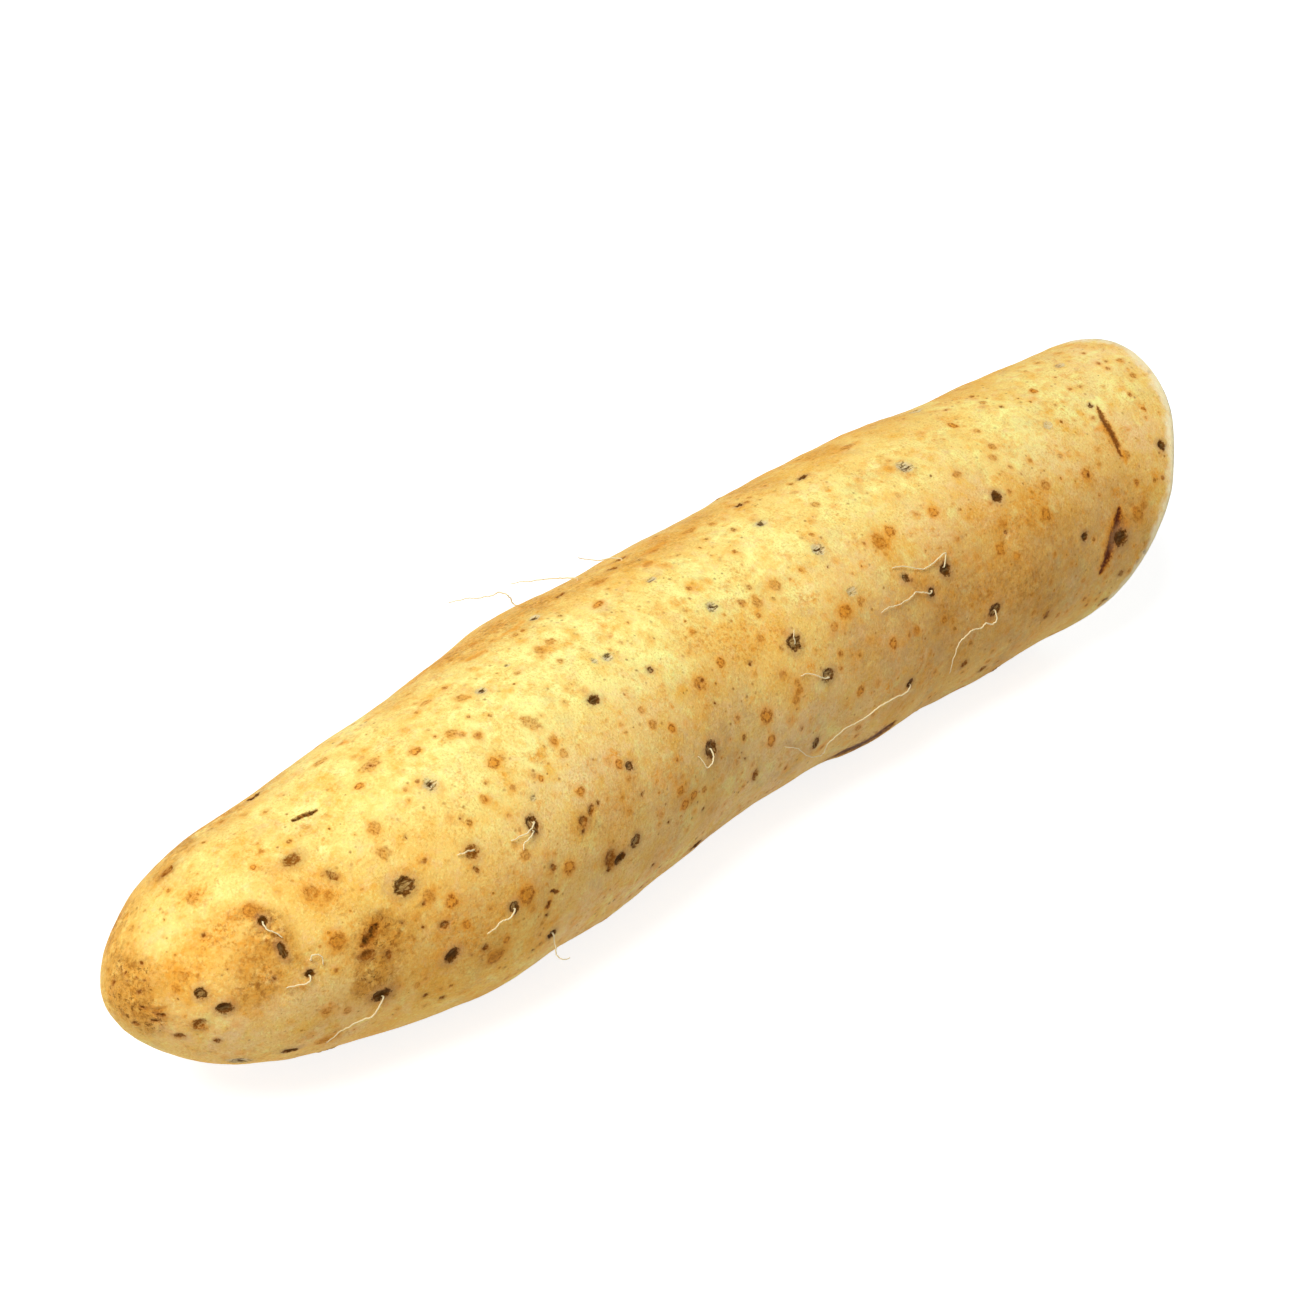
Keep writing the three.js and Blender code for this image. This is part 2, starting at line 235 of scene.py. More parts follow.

# Soft patches of soil brown, of dark dirt and of orange: (along, around, width, then how much of
# each, from 0 to 1). The broad shades at the head of the list are painted shade, laid as soil brown.
STAINS = [
    # broad shades: painted shade, laid as soil brown, that darkens the lower flank of the far half
    (214, 78, 34, 0.2, 0, 0.3), (234, 72, 36, 0.28, 0, 0.3), (264, 68, 26, 0.4, 0, 0.3),
    (180, 72, 24, 0.25, 0, 0.2), (203, 66, 20, 0.25, 0, 0.2), (228, 76, 20, 0.25, 0, 0.2),
    # the tip
    (2, 86, 8, 0.29, 0.7, 0.1), (1, 60, 7, 0.22, 0.6, 0.2), (3, 0, 12, 0.29, 0.3, 0),
    (5, 30, 10, 0.18, 0.15, 0), (0.5, 10, 10, 0.65, 0.8, 0.3), (3, -10, 8, 0.5, 0.6, 0.4),
    (4, 12, 6, 0.58, 0.8, 0.4), (2, 45, 9, 0.58, 0.6, 0.5), (4, 40, 5, 0.43, 0.6, 0.3),
    (3, 78, 6, 0.65, 0.8, 0.3), (2, 100, 8, 0.58, 0.7, 0.1), (5, -35, 9, 0.36, 0.3, 0.4),
    (8, 41, 6, 0.11, 0, 0.9), (8, 55, 5, 0.11, 0, 0.9), (6, 28, 6, 0.22, 0.2, 0.5),
    (12, 47, 8, 0, 0, 0.5), (14, 30, 6, 0, 0, 0.7), (17.5, 6, 8, 0.04, 0, 0.9), (32, 24, 9, 0.07, 0, 0.5),
    (31, 2, 8, 0, 0, 0.5),
    # the brown patch on the tip's near side
    (17.5, 30, 7, 0, 0, 0.9), (20.5, 29, 4, 0.3, 0, 0.9), (22.3, 31.5, 4.5, 0.8, 0.6, 0.6),
    (23.8, 38, 5, 1, 0.9, 0.4), (24.5, 46, 6, 1, 0.7, 0.4), (22, 48, 7, 0.9, 0.4, 0.6),
    (24.5, 56, 5, 0.6, 0.5, 0.5), (18, 42, 8, 0.15, 0, 0.8), (15, 38, 7, 0.05, 0, 0.6),
    (18.5, 55, 8, 0.35, 0.05, 0.8), (19.5, 65, 8, 0.75, 0.3, 0.6), (16.5, 72, 8, 0.7, 0.25, 0.7),
    (13.5, 74, 4, 0.2, 0, 0.8), (25.5, 65, 5, 0.4, 0.3, 0.3),
    # the dark patch behind it
    (40.5, 65, 9, 0.7, 0.5, 0.3), (38.5, 76, 9, 0.6, 0.5, 0.3), (37.5, 87, 9, 0.5, 0.4, 0.3),
    (41.5, 62, 5, 1, 0.8, 0.2), (38.5, 66.5, 5, 1, 0.7, 0.2), (37.5, 72.5, 5, 1, 0.4, 0.5),
    (41.5, 76, 5, 0.7, 0.7, 0.2), (36.5, 80, 5, 0.7, 0.5, 0.1), (39.5, 84, 7, 0.7, 0.5, 0.2),
    (36, 89, 6, 0.7, 0.6, 0.2), (43.5, 68, 6, 0.7, 0.35, 0.4), (45.5, 72, 6, 0.35, 0.15, 0.4),
    (40.5, 97, 5, 0.8, 0.6, 0), (34, 38, 7, 0.1, 0, 0.8), (36, 44, 6, 0.15, 0, 0.8),
    (33.5, 63, 4, 0.5, 0.2, 0.6), (30.5, 117, 6, 0.5, 0.1, 0.7), (29, 94, 7, 0.2, 0, 0.5),
    # the upper edge
    (10, -45, 14, 0.7, 0.45, 0.5), (19, -26, 7, 0.7, 0.45, 0.6), (27, -38, 15, 0.7, 0.45, 0.6),
    (38, -36, 14, 0.5, 0.3, 0.7), (50, -40, 14, 0.4, 0.25, 0.6), (100, -33, 16, 0.5, 0.25, 0.8),
    (112, -31, 16, 0.5, 0.25, 0.8), (124, -29, 14, 0.55, 0.35, 0.7), (136, -22, 12, 0.5, 0.35, 0.7),
    (147, -17, 10, 0.5, 0.35, 0.6), (158, -20, 14, 0.4, 0.25, 0.6), (172, -26, 16, 0.4, 0.25, 0.6),
    (190, -30, 18, 0.4, 0.25, 0.5), (210, -24, 14, 0.35, 0.25, 0.6), (230, -30, 18, 0.25, 0.2, 0.4),
    (250, -32, 18, 0.25, 0.2, 0.4), (81, -30, 14, 0.2, 0.15, 0.5),
    # the near side
    (48, 84, 24, 0.1, 0, 0.4), (62, 88, 26, 0.08, 0, 0.3), (70, 70, 20, 0, 0, 0.3),
    (104, 66, 16, 0.05, 0, 0.3), (57, 82, 12, 0.2, 0.05, 0.6), (62, 96, 8, 0.6, 0.2, 0.4),
    (71, 78, 6, 0.4, 0.1, 0.7), (88, 65, 7, 0.35, 0.1, 0.5), (93, 66, 8, 0.4, 0.15, 0.4),
    (94, 85, 6, 0.6, 0.15, 0.7), (84, 80, 12, 0, 0, 0.2), (75, 95, 14, 0, 0, 0.2),
    (100, 72, 12, 0.25, 0.05, 0.4), (108, 100, 12, 0.2, 0.05, 0.3), (118, 81, 8, 0.25, 0.05, 0.6),
    (126, 98, 12, 0.3, 0.15, 0.2), (143, 37, 13, 0, 0, 0.6), (151, 40, 11, 0, 0, 0.6),
    (148, 47, 10, 0.05, 0, 0.6), (62, 42, 16, 0, 0, 0.3), (137, 34, 9, 0, 0, 0.5),
    (157, 46, 8, 0.05, 0, 0.7), (133, 47, 6, 0.1, 0, 0.6), (157, 66, 8, 0.1, 0, 0.5),
    (176, 51, 7, 0.15, 0, 0.7), (195, 36, 7, 0.1, 0, 0.9), (197, 58, 6, 0.35, 0.2, 0.3),
    (221, 42, 8, 0, 0, 0.4), (226, 53, 8, 0.25, 0.1, 0.7), (232, 50, 9, 0.1, 0, 0.8),
    (238, 47, 8, 0.05, 0, 0.8), (237, 57, 8, 0.2, 0, 0.7), (246, 62, 12, 0.2, 0.1, 0.3),
    (253, 51, 6, 0.15, 0.1, 0.8), (215, 74, 9, 0.25, 0.05, 0.5), (203, 75, 8, 0.25, 0.05, 0.5),
    (261, 78, 7, 0.8, 0.3, 0.8), (268, 76, 6, 0.5, 0.1, 0.4), (262, 41, 6, 0.1, 0, 0.8),
    (240, 96, 9, 0.5, 0.2, 0.1), (231, 82, 8, 0.35, 0.1, 0.1), (189, 108, 14, 0.25, 0.1, 0.2),
    (276, 92, 7, 0.4, 0.1, 0.4), (208, 100, 10, 0.25, 0.05, 0.3),
]

# Wide soft patches of yellow, of peach and of olive skin, written in the same way. Besides the skin's
# own tones they paint light and shade: yellow lies mostly over the top, olive darkens the lower flank
# and the lower edge, and peach gives the painted shade on the lower side a greyer hue.
TONES = [
    (132, 126, 14, 0, 0, 0.6), (176, 124, 18, 0, 0, 0.6), (203, 124, 20, 0, 0, 0.7),
    (230, 124, 18, 0, 0, 0.7), (2, 20, 16, 0, 0, 0.25), (3, 70, 12, 0, 0, 0.3), (4, 105, 12, 0, 0.6, 0),
    (12, 112, 14, 0, 0.7, 0), (30, 118, 16, 0, 0.7, 0), (84, 110, 20, 0, 0.7, 0),
    (104, 112, 24, 0, 0.9, 0), (130, 112, 24, 0, 1, 0), (152, 115, 22, 0, 1, 0),
    (176, 108, 20, 0, 0.6, 0), (14, 0, 16, 0.35, 0, 0), (25, 2, 20, 0.4, 0, 0), (20, -30, 12, 0.5, 0, 0),
    (7, 16, 7, 0.7, 0, 0), (14, 20, 8, 0.3, 0, 0), (86, -26, 22, 0.7, 0, 0), (104, -14, 20, 0.7, 0, 0),
    (116, -12, 18, 0.9, 0, 0), (116, 4, 16, 0.8, 0, 0), (88, 34, 12, 0.9, 0, 0), (144, 16, 18, 0.9, 0, 0),
    (151, 27, 18, 0.9, 0, 0), (172, 14, 18, 0.7, 0, 0), (200, 16, 14, 0.6, 0, 0),
    (257, 16, 18, 0.9, 0, 0), (270, 22, 14, 0.9, 0, 0), (190, 74, 24, 0, 0, 0.7),
    (262, 76, 24, 0, 0, 0.9), (206, 76, 24, 0, 0, 0.8), (44, 8, 34, 0.6, 0, 0), (32, -33, 16, 0.8, 0, 0),
    (50, -34, 18, 0.8, 0, 0), (70, -34, 18, 0.8, 0, 0), (64, -5, 26, 0.6, 0, 0), (68, 22, 22, 0.7, 0, 0),
    (92, 8, 34, 1, 0, 0), (112, 8, 30, 1, 0, 0), (128, 20, 24, 0.9, 0, 0), (150, 12, 26, 0.8, 0, 0),
    (170, 10, 28, 0.8, 0.1, 0), (195, 8, 28, 0.7, 0.2, 0), (220, 8, 26, 0.6, 0.3, 0),
    (243, 12, 30, 0.8, 0, 0), (262, -8, 20, 0.5, 0.2, 0), (70, 30, 26, 0.6, 0, 0),
    (90, 45, 20, 0, 0.9, 0), (100, 52, 20, 0, 0.8, 0), (117, 38, 16, 0.1, 0.9, 0),
    (76, 58, 16, 0, 0.6, 0), (172, 32, 16, 0, 0.5, 0), (186, 36, 16, 0, 0.6, 0), (206, 40, 18, 0, 0.7, 0),
    (222, 34, 18, 0, 0.8, 0), (245, 32, 26, 0.1, 0.9, 0), (262, 20, 24, 0.1, 0.9, 0),
    (270, 45, 18, 0, 0.9, 0), (272, 0, 20, 0.1, 0.9, 0), (20, 84, 18, 0, 0.5, 0.3),
    (12, 98, 16, 0, 0.6, 0.2), (34, 104, 20, 0, 0.5, 0.2), (30, 82, 12, 0.2, 0.3, 0.3),
    (60, 72, 18, 0, 0, 0.55), (52, 80, 16, 0, 0, 0.55), (76, 76, 20, 0, 0.1, 0.3),
    (88, 82, 20, 0, 0.1, 0.1), (104, 72, 20, 0, 0.2, 0.45), (120, 68, 22, 0, 0.2, 0.55),
    (132, 75, 16, 0, 0.3, 0.7), (138, 62, 20, 0, 0.2, 0.5), (112, 95, 22, 0, 0.6, 0.3),
    (145, 95, 26, 0, 0.8, 0.3), (160, 88, 24, 0, 0.8, 0.3), (156, 105, 20, 0, 0.7, 0.3),
    (176, 66, 22, 0, 0.1, 0.7), (188, 66, 20, 0, 0.1, 0.7), (184, 92, 26, 0, 0.7, 0.4),
    (204, 88, 22, 0, 0.5, 0.6), (212, 68, 26, 0, 0.1, 0.8), (232, 72, 26, 0, 0.1, 0.8),
    (246, 80, 24, 0, 0.1, 0.9), (226, 98, 26, 0, 0.3, 0.8), (256, 62, 16, 0, 0.5, 0.3),
    (266, 92, 18, 0, 0.2, 0.7), (250, 100, 18, 0, 0.3, 0.6), (90, 100, 20, 0, 0.6, 0.1),
]

# The side that faces away has marks of the same kinds, scattered by a seeded draw.
HIDDEN_FROM = 128  # degrees round, to HIDDEN_TO
HIDDEN_TO = 312
HIDDEN_ENDS = 6  # kept clear of marks at each end
HIDDEN_SCARS = 40
HIDDEN_SPECKS = 60
HIDDEN_RUST = 70
HIDDEN_STAINS = 24
HIDDEN_TONES = 30
HIDDEN_PATCH_WIDTHS = (8, 26)
HIDDEN_SEED = 11
MOST_TRIES = 400

# ---------------------------------------------------------------- rootlets

# Each rootlet's route: (along, around, height above the skin), from its scar to its thin end.
ROOTLET_ROUTES = [
    [(23.2, 39, 0.6), (23, 42, 1.2), (23.8, 45.5, 1.1), (24.8, 50, 0.7)],
    [(26.4, 72, 0.6), (25.9, 73.6, 1), (23.9, 74, 0.9), (21.8, 73.4, 0.7)],
    [(27.5, 64.5, 0.6), (28, 62.5, 1.2), (29.3, 64.5, 1.3), (29, 69, 0.8)],
    [
        (39.3, 97.5, 0.6), (37.3, 104.5, 1.2), (35.4, 105.8, 1), (33.8, 106.8, 0.9), (31.2, 111, 0.8),
        (29, 118, 0.7),
    ],
    [(78.2, 54, 0.6), (76, 55.3, 1.3), (72.8, 55.3, 1), (71.6, 55, 0.8)],
    [(77.2, 56.5, 0.6), (75.5, 57.5, 1.2), (73.8, 58.5, 1), (73.2, 60.5, 0.7)],
    [(64, 51.5, 0.6), (62.6, 50.8, 1.2), (61.4, 50.6, 1), (60.4, 50.4, 0.7)],
    [(67.8, 80, 0.6), (66, 81.6, 1.2), (64.3, 81.4, 1), (63, 83.3, 0.8), (61, 84.5, 0.7)],
    [
        (77.9, 103, 0.6), (78, 105.5, 1.1), (77.3, 107.5, 2.4), (77, 109, 3.6), (77.6, 109.5, 4.7),
        (79.5, 110, 5.2),
    ],
    [
        (128, 71, 0.6), (127.3, 73.5, 1.3), (126.1, 75, 1.4), (124.7, 75.2, 1.3), (124.3, 72.5, 1.2),
        (123.5, 68.8, 0.8),
    ],
    [(160.2, 53, 0.6), (160, 50.5, 1.6), (160.4, 48, 2.2)],
    [(165.8, 72.3, 0.6), (164.3, 71.3, 1.1), (162.3, 68.7, 1.2), (159.8, 65.8, 1), (158.1, 65.8, 0.7)],
    [
        (190.2, 95.5, 0.6), (188.1, 96.9, 1.1), (185.2, 96.5, 1), (181, 96.5, 1), (177.9, 98.5, 1.1),
        (174.3, 100, 1), (170, 100.5, 1), (167.4, 101.9, 1.1), (165.6, 104, 1), (165, 109, 1.2),
        (162, 108, 1), (158.5, 103, 1), (155, 96, 0.9), (150.7, 91, 0.7),
    ],
    [
        (206.1, 56, 0.6), (206.9, 51.5, 1.6), (204.2, 52.2, 1.4), (200.3, 52.7, 1), (198.9, 51.7, 1),
        (197, 49.8, 1), (193.9, 46.6, 0.9), (192.3, 45.8, 0.7),
    ],
    [
        (200.2, 62, 0.6), (198.8, 62.2, 1.1), (197, 60.3, 1.1), (195.3, 58.8, 1), (193.6, 59.4, 1),
        (190.3, 59.5, 1), (188, 59, 0.9), (186.4, 58.3, 0.9), (183.8, 58.7, 0.7),
    ],
    [
        (218.6, 83.5, 0.6), (218.4, 86.8, 1.3), (217.2, 88, 1.2), (215.3, 86.2, 1.1), (214, 87.3, 1),
        (211, 86.2, 1), (208.3, 87.4, 1.1), (206.4, 89, 1), (205.6, 93, 1), (205.2, 98.4, 0.9),
        (205.9, 103.6, 0.7),
    ],
    [(148, -24, 0.6), (146, -26, 1.4), (144, -28, 1.8), (142, -30, 3), (140, -30.5, 4.2)],
    [(137, -29, 0.6), (134.5, -33, 1.8), (132, -36.5, 2.8), (129, -41, 4), (127, -45, 5)],
    [
        (131, -55, 0.6), (130, -55.5, 1.8), (129, -53.5, 3.6), (128, -54.5, 5.4), (126.5, -57, 6),
        (125, -60, 7.6), (124, -61.5, 9), (122.5, -63, 10.2), (121, -64, 11.2),
    ],
    [(62, -92, 0.6), (58, -97, 1.2), (54, -99, 1), (50, -104, 0.8)],
    [(112, -112, 0.6), (109, -106, 1.3), (105, -104, 1.1), (101, -106, 0.8)],
    [(175, -88, 0.6), (179, -93, 1.3), (184, -94, 1), (188, -99, 1.2), (191, -98, 0.7)],
    [(228, -118, 0.6), (225, -111, 1.4), (221, -108, 1.1), (217, -109, 0.8)],
    [(252, -75, 0.6), (249, -80, 1.3), (246, -79, 0.8)],
]
ROOT_DEPTH = 0.5  # how deep in its scar a rootlet starts
ROUTE_DROP = 0.25  # how much nearer the skin than its route a rootlet lies

# ---------------------------------------------------------------- the stage

LOOK_AT = Vector((6.4, 13.98, 30.4)) * MM
FLOOR_SIZE = 4.0  # metres from its middle to its edge
LAMP_PLACE = Vector((-0.8, -0.07, 1.5))
LAMP_SIZE = 1.0
BACKGROUND_RAYS = ("Is Camera Ray", "Is Glossy Ray", "Is Transmission Ray")  # they see white
SEEN_FLOOR = (0.5, 0.5, 0.5)  # the floor that these rays see darkens only where a shadow lies
SEEN_GLOW = 0.84

# ---------------------------------------------------------------- settings


def length(name, description, default_mm):
    """A length property, given in millimetres."""
    return FloatProperty(name=name, description=description, default=default_mm * MM, unit="LENGTH", min=0)


def colour(name, description, default):
    """A colour property, in linear light."""
    return FloatVectorProperty(
        name=name, description=description, default=default, size=3, min=0, max=1, subtype="COLOR"
    )


class YamSkinSettings(PropertyGroup):
    """The relief and colours of the skin and the cut face."""

    across: IntProperty(name="Across", description="Faces across a quarter of the girth", default=44, min=8)
    body_rows: IntProperty(name="Body rows", description="Rows of faces along the body", default=206, min=20)
    lumps: length("Lumps", "Height of the broad swellings of the skin", 0.35)
    ripples: length("Ripples", "Height of the small unevenness of the skin", 0.07)
    pit_depth: length("Pit depth", "Depth of a root scar's pit", 0.45)
    rim_height: length("Rim height", "Height of the raised rim round a root scar", 0.2)
    slit_depth: length("Slit depth", "Depth of a crack", 0.3)
    cut_edge: length("Cut edge", "Rounding of the edge where the skin meets the cut", 0.35)
    fine_relief: length("Fine relief", "Height of the skin's finest relief", 0.2)

    # Through the placed tones, yellow also paints light on the top, and olive and peach paint shade on the
    # lower flank and lower edge.
    gold: colour("Gold", "The common colour of the skin", (0.94, 0.605, 0.145))
    amber: colour("Amber", "Deeper clouds in it", (0.90, 0.49, 0.075))
    yellow: colour("Yellow", "The palest, yellow skin", (0.985, 0.925, 0.325))
    peach: colour("Peach", "Pinkish beige skin", (0.94, 0.645, 0.322))
    olive: colour("Olive", "Dull skin and its halo round a scar", (0.53, 0.335, 0.152))
    grain: colour("Grain", "The fine grain", (0.60, 0.30, 0.035))
    orange: colour("Orange", "Soft rust", (0.84, 0.32, 0.022))
    rust: colour("Rust", "Rings of rust", (0.37, 0.1, 0.006))
    soil: colour("Soil", "Brown stains", (0.25, 0.078, 0.004))
    dirt: colour("Dirt", "Dark dirt in the stains", (0.075, 0.028, 0.002))
    scar: colour("Scar", "The dark of a root scar", (0.055, 0.018, 0.0))
    ash: colour("Ash", "The grey shade of an old scar", (0.46, 0.35, 0.17))
    fibre: colour("Fibre", "Pale fibres in a root scar", (0.82, 0.60, 0.24))
    wound: colour("Wound", "The red-brown of a crack", (0.085, 0.013, 0.003))
    peel: colour("Peel", "The pale edge of skin beside the cut", (0.98, 0.86, 0.54))
    flesh: colour("Flesh", "The cut flesh", (0.98, 0.94, 0.77))
    flesh_core: colour("Flesh core", "The flesh near the middle", (0.90, 0.80, 0.54))


class YamRootletSettings(PropertyGroup):
    """The size and colour of the rootlets."""

    sides: IntProperty(name="Sides", description="Faces round a rootlet", default=7, min=3)
    steps: IntProperty(name="Steps", description="Steps between two points of a route", default=7, min=1)
    base_radius: length("Base radius", "Radius where a rootlet leaves its scar", 0.18)
    end_radius: length("End radius", "Radius at the thin end", 0.1)
    kink: length("Kink", "How far a rootlet wanders from its route", 0.1)
    cream: colour("Cream", "The pale fibre", (0.88, 0.73, 0.42))
    tan: colour("Tan", "The older fibre near the scar", (0.72, 0.50, 0.24))


class YamStageSettings(PropertyGroup):
    """The camera, the lamp, the even light and the floor."""

    azimuth: FloatProperty(
        name="Azimuth", description="Side the camera stands on", default=math.radians(-47), subtype="ANGLE"
    )
    elevation: FloatProperty(
        name="Elevation", description="Camera's height angle", default=math.radians(33), subtype="ANGLE"
    )
    distance: length("Distance", "From the camera to the point it looks at", 639)
    lens: FloatProperty(name="Lens", description="Focal length in millimetres", default=80, min=1)
    sky: FloatProperty(name="Sky", description="Strength of the even light", default=0.248, min=0)
    key: FloatProperty(name="Key", description="Power of the large lamp above, in watts", default=29, min=0)
    floor: colour("Floor", "The pale floor", (0.7, 0.7, 0.7))


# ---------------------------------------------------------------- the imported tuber's surface


def spline_weights(t):
    """The four Catmull-Rom weights at each share t of a span."""
    return 0.5 * np.stack(
        [-t + 2 * t**2 - t**3, 2 - 5 * t**2 + 3 * t**3, t + 4 * t**2 - 3 * t**3, t**3 - t**2], axis=-1
    )


class Surface:
    """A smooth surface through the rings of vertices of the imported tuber."""

    TIP_RINGS = 8  # rings of the domed tip, evenly spaced in angle
    MERGE = 0.01 * MM
    RING_STEP = 0.05  # small steps, in rings and in radians, that give the surface's slope
    TURN_STEP = 0.01

    def __init__(self):
        layers = self.read_layers()
        self.sectors = len(layers[1])
        self.tip = layers[0][0]
        self.cut_centre = np.array(layers[-1][0])
        rings = np.array([self.in_order(layer) for layer in layers[:-1]])
        self.rows = len(rings) - 1
        self.along = (rings[:, :, 0].mean(axis=1) - self.tip.x) / MM
        before = np.roll(rings[1], self.sectors // 2, axis=0)
        beyond = 2 * rings[-1] - rings[-2]
        self.rings = np.concatenate([before[None], rings, beyond[None]])

    def read_layers(self):
        """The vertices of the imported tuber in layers, from the tip's pole to the cut's centre."""
        bm = bmesh.new()
        bm.from_mesh(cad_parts["tuber"].data)
        bmesh.ops.remove_doubles(bm, verts=bm.verts, dist=self.MERGE)
        layer = [min(bm.verts, key=lambda v: v.co.x)]
        seen = set(layer)
        layers = []
        while layer:
            layers.append([v.co.copy() for v in layer])
            layer = list({e.other_vert(v) for v in layer for e in v.link_edges} - seen)
            seen.update(layer)
        bm.free()
        return layers

    def in_order(self, layer):
        """One layer's points by sector, round from the top towards -Y."""
        if len(layer) == 1:
            return [layer[0]] * self.sectors
        side = sum(p.y for p in layer) / len(layer)
        places = {}
        for p in layer:
            turn = math.atan2(side - p.y, p.z - self.tip.z) / math.tau
            places[round(turn * self.sectors) % self.sectors] = p
        if len(places) != self.sectors:
            raise RuntimeError("the packed tuber's rings aren't whole")
        return [places[i] for i in range(self.sectors)]

    def at(self, ring, angle):
        """Points on the surface at fractional rings and at angles in radians."""
        ring, angle = np.broadcast_arrays(np.asarray(ring, float), np.asarray(angle, float))
        ring = np.clip(ring, 0, self.rows)
        row = np.minimum(ring.astype(int), self.rows - 1)
        sector = (angle / math.tau * self.sectors) % self.sectors
        column = sector.astype(int)
        by_row = spline_weights(ring - row)
        by_column = spline_weights(sector - column)
        points = 0
        for i in range(4):
            for j in range(4):
                corner = self.rings[row + i, (column + j - 1) % self.sectors]
                points = points + corner * (by_row[..., i] * by_column[..., j])[..., None]
        return points

    def stand(self, along, around):
        """Where a mark stands: its point, and the unit directions along, around and out of the skin."""
        ring = np.interp(along, self.along, np.arange(len(self.along)))
        angle = math.radians(around)
        ahead = self.at(ring + self.RING_STEP, angle) - self.at(ring - self.RING_STEP, angle)
        round_about = self.at(ring, angle + self.TURN_STEP) - self.at(ring, angle - self.TURN_STEP)
        out = np.cross(round_about, ahead)
        ahead = ahead / np.linalg.norm(ahead)
        out = out / np.linalg.norm(out)
        return self.at(ring, angle), ahead, np.cross(ahead, out), out

    def point(self, along, around):
        """The point at a place on the skin."""
        return self.stand(along, around)[0]

    def above(self, along, around, lift):
        """A point at a height above the skin, in millimetres."""
        point, _, _, out = self.stand(along, around)
        return point + out * lift * MM

    def cut_normal(self):
        """The direction square to the cut, away from the tuber."""
        first, second = (self.rings[-2][i] - self.cut_centre for i in (0, self.sectors // 8))
        normal = np.cross(first, second)
        return normal / np.linalg.norm(normal) * np.sign(normal[0])


# ---------------------------------------------------------------- the skin's mesh


def scattered_marks(surface):
    """Scars, rust spots, stains and tones for the side that faces away."""
    draw = random.Random(HIDDEN_SEED)
    end = surface.along[-1]
    taken = []

    def free_place(clearance):
        for _ in range(MOST_TRIES):
            along = draw.uniform(HIDDEN_ENDS, end - HIDDEN_ENDS)
            around = draw.uniform(HIDDEN_FROM, HIDDEN_TO)
            point = surface.point(along, around)
            if all(np.linalg.norm(point - other) > clearance * MM for other in taken):
                taken.append(point)
                return round(along, 1), round(around, 1)
        raise RuntimeError("no room for another mark")

    def marks(count, kinds, clearance, smallest, largest):
        drawn = {kind: [] for kind in kinds}
        for _ in range(count):
            width = draw.uniform(smallest, largest)
            stretch = draw.choice([1, 1.2, 1.5])
            mark = (*free_place(clearance), width, stretch, draw.uniform(0, 180))
            drawn[draw.choice(kinds)].append(mark)
        return drawn

    def patch(*most):
        along = draw.uniform(0, end)
        around = draw.uniform(HIDDEN_FROM, HIDDEN_TO)
        width = draw.uniform(*HIDDEN_PATCH_WIDTHS)
        return (along, around, width, *(draw.uniform(0, amount) for amount in most))

    kinds = [kind for kind in SCAR_LOOKS if kind != "speck"]
    scars = marks(HIDDEN_SCARS, kinds, clearance=9, smallest=1.7, largest=3)
    scars |= marks(HIDDEN_SPECKS, ["speck"], clearance=4, smallest=0.5, largest=1)
    rust = marks(HIDDEN_RUST, ["strong", "soft"], clearance=4, smallest=1.4, largest=2.8)
    stains = [patch(0.6, 0.4, 0.8) for _ in range(HIDDEN_STAINS)]
    tones = [patch(0.7, 0.8, 0.7) for _ in range(HIDDEN_TONES)]
    return scars, rust, stains, tones


def all_marks(surface):
    """Every scar and rust spot with its look, every stain and every tone."""
    more_scars, more_rust, more_stains, more_tones = scattered_marks(surface)

    def with_looks(rows, more, looks):
        return [(Mark(*row), looks[kind]) for kind in rows for row in rows[kind] + more[kind]]

    scars = with_looks(ROOT_SCARS, more_scars, SCAR_LOOKS)
    rust = with_looks(RUST_SPOTS, more_rust, RUST_LOOKS)
    return scars, rust, STAINS + more_stains, TONES + more_tones


PLACE_STEP = 10 * MM  # keeps the marks so far apart in noise that no two are alike


def nearest_mark(points, marks, surface):
    """Each point's distance to the nearest mark, in its radii, that mark's look, and the place in it."""
    distance = np.full(len(points), FAR)
    looks = np.zeros((len(points), 3))
    places = np.zeros((len(points), 3))
    for number, (mark, look) in enumerate(marks):
        centre, ahead, round_about, out = surface.stand(mark.along, mark.around)
        radius = mark.width / 2 * MM
        near = np.flatnonzero(np.abs(points - centre).max(axis=1) < radius * mark.stretch * FAR)
        gap = points[near] - centre
        turn = math.radians(mark.turn)
        long_side = ahead * math.cos(turn) + round_about * math.sin(turn)
        short_side = round_about * math.cos(turn) - ahead * math.sin(turn)
        oval = np.stack([gap @ long_side / mark.stretch, gap @ short_side, gap @ out], axis=1)
        here = np.linalg.norm(oval, axis=1) / radius
        closer = here < distance[near]
        distance[near[closer]] = here[closer]
        looks[near[closer]] = look
        places[near[closer], :2] = oval[closer, :2]
        places[near[closer], 2] = number * PLACE_STEP
    return distance, looks, places


SLIT_END = 0.25  # a slit's width at its ends, as a share of its full width


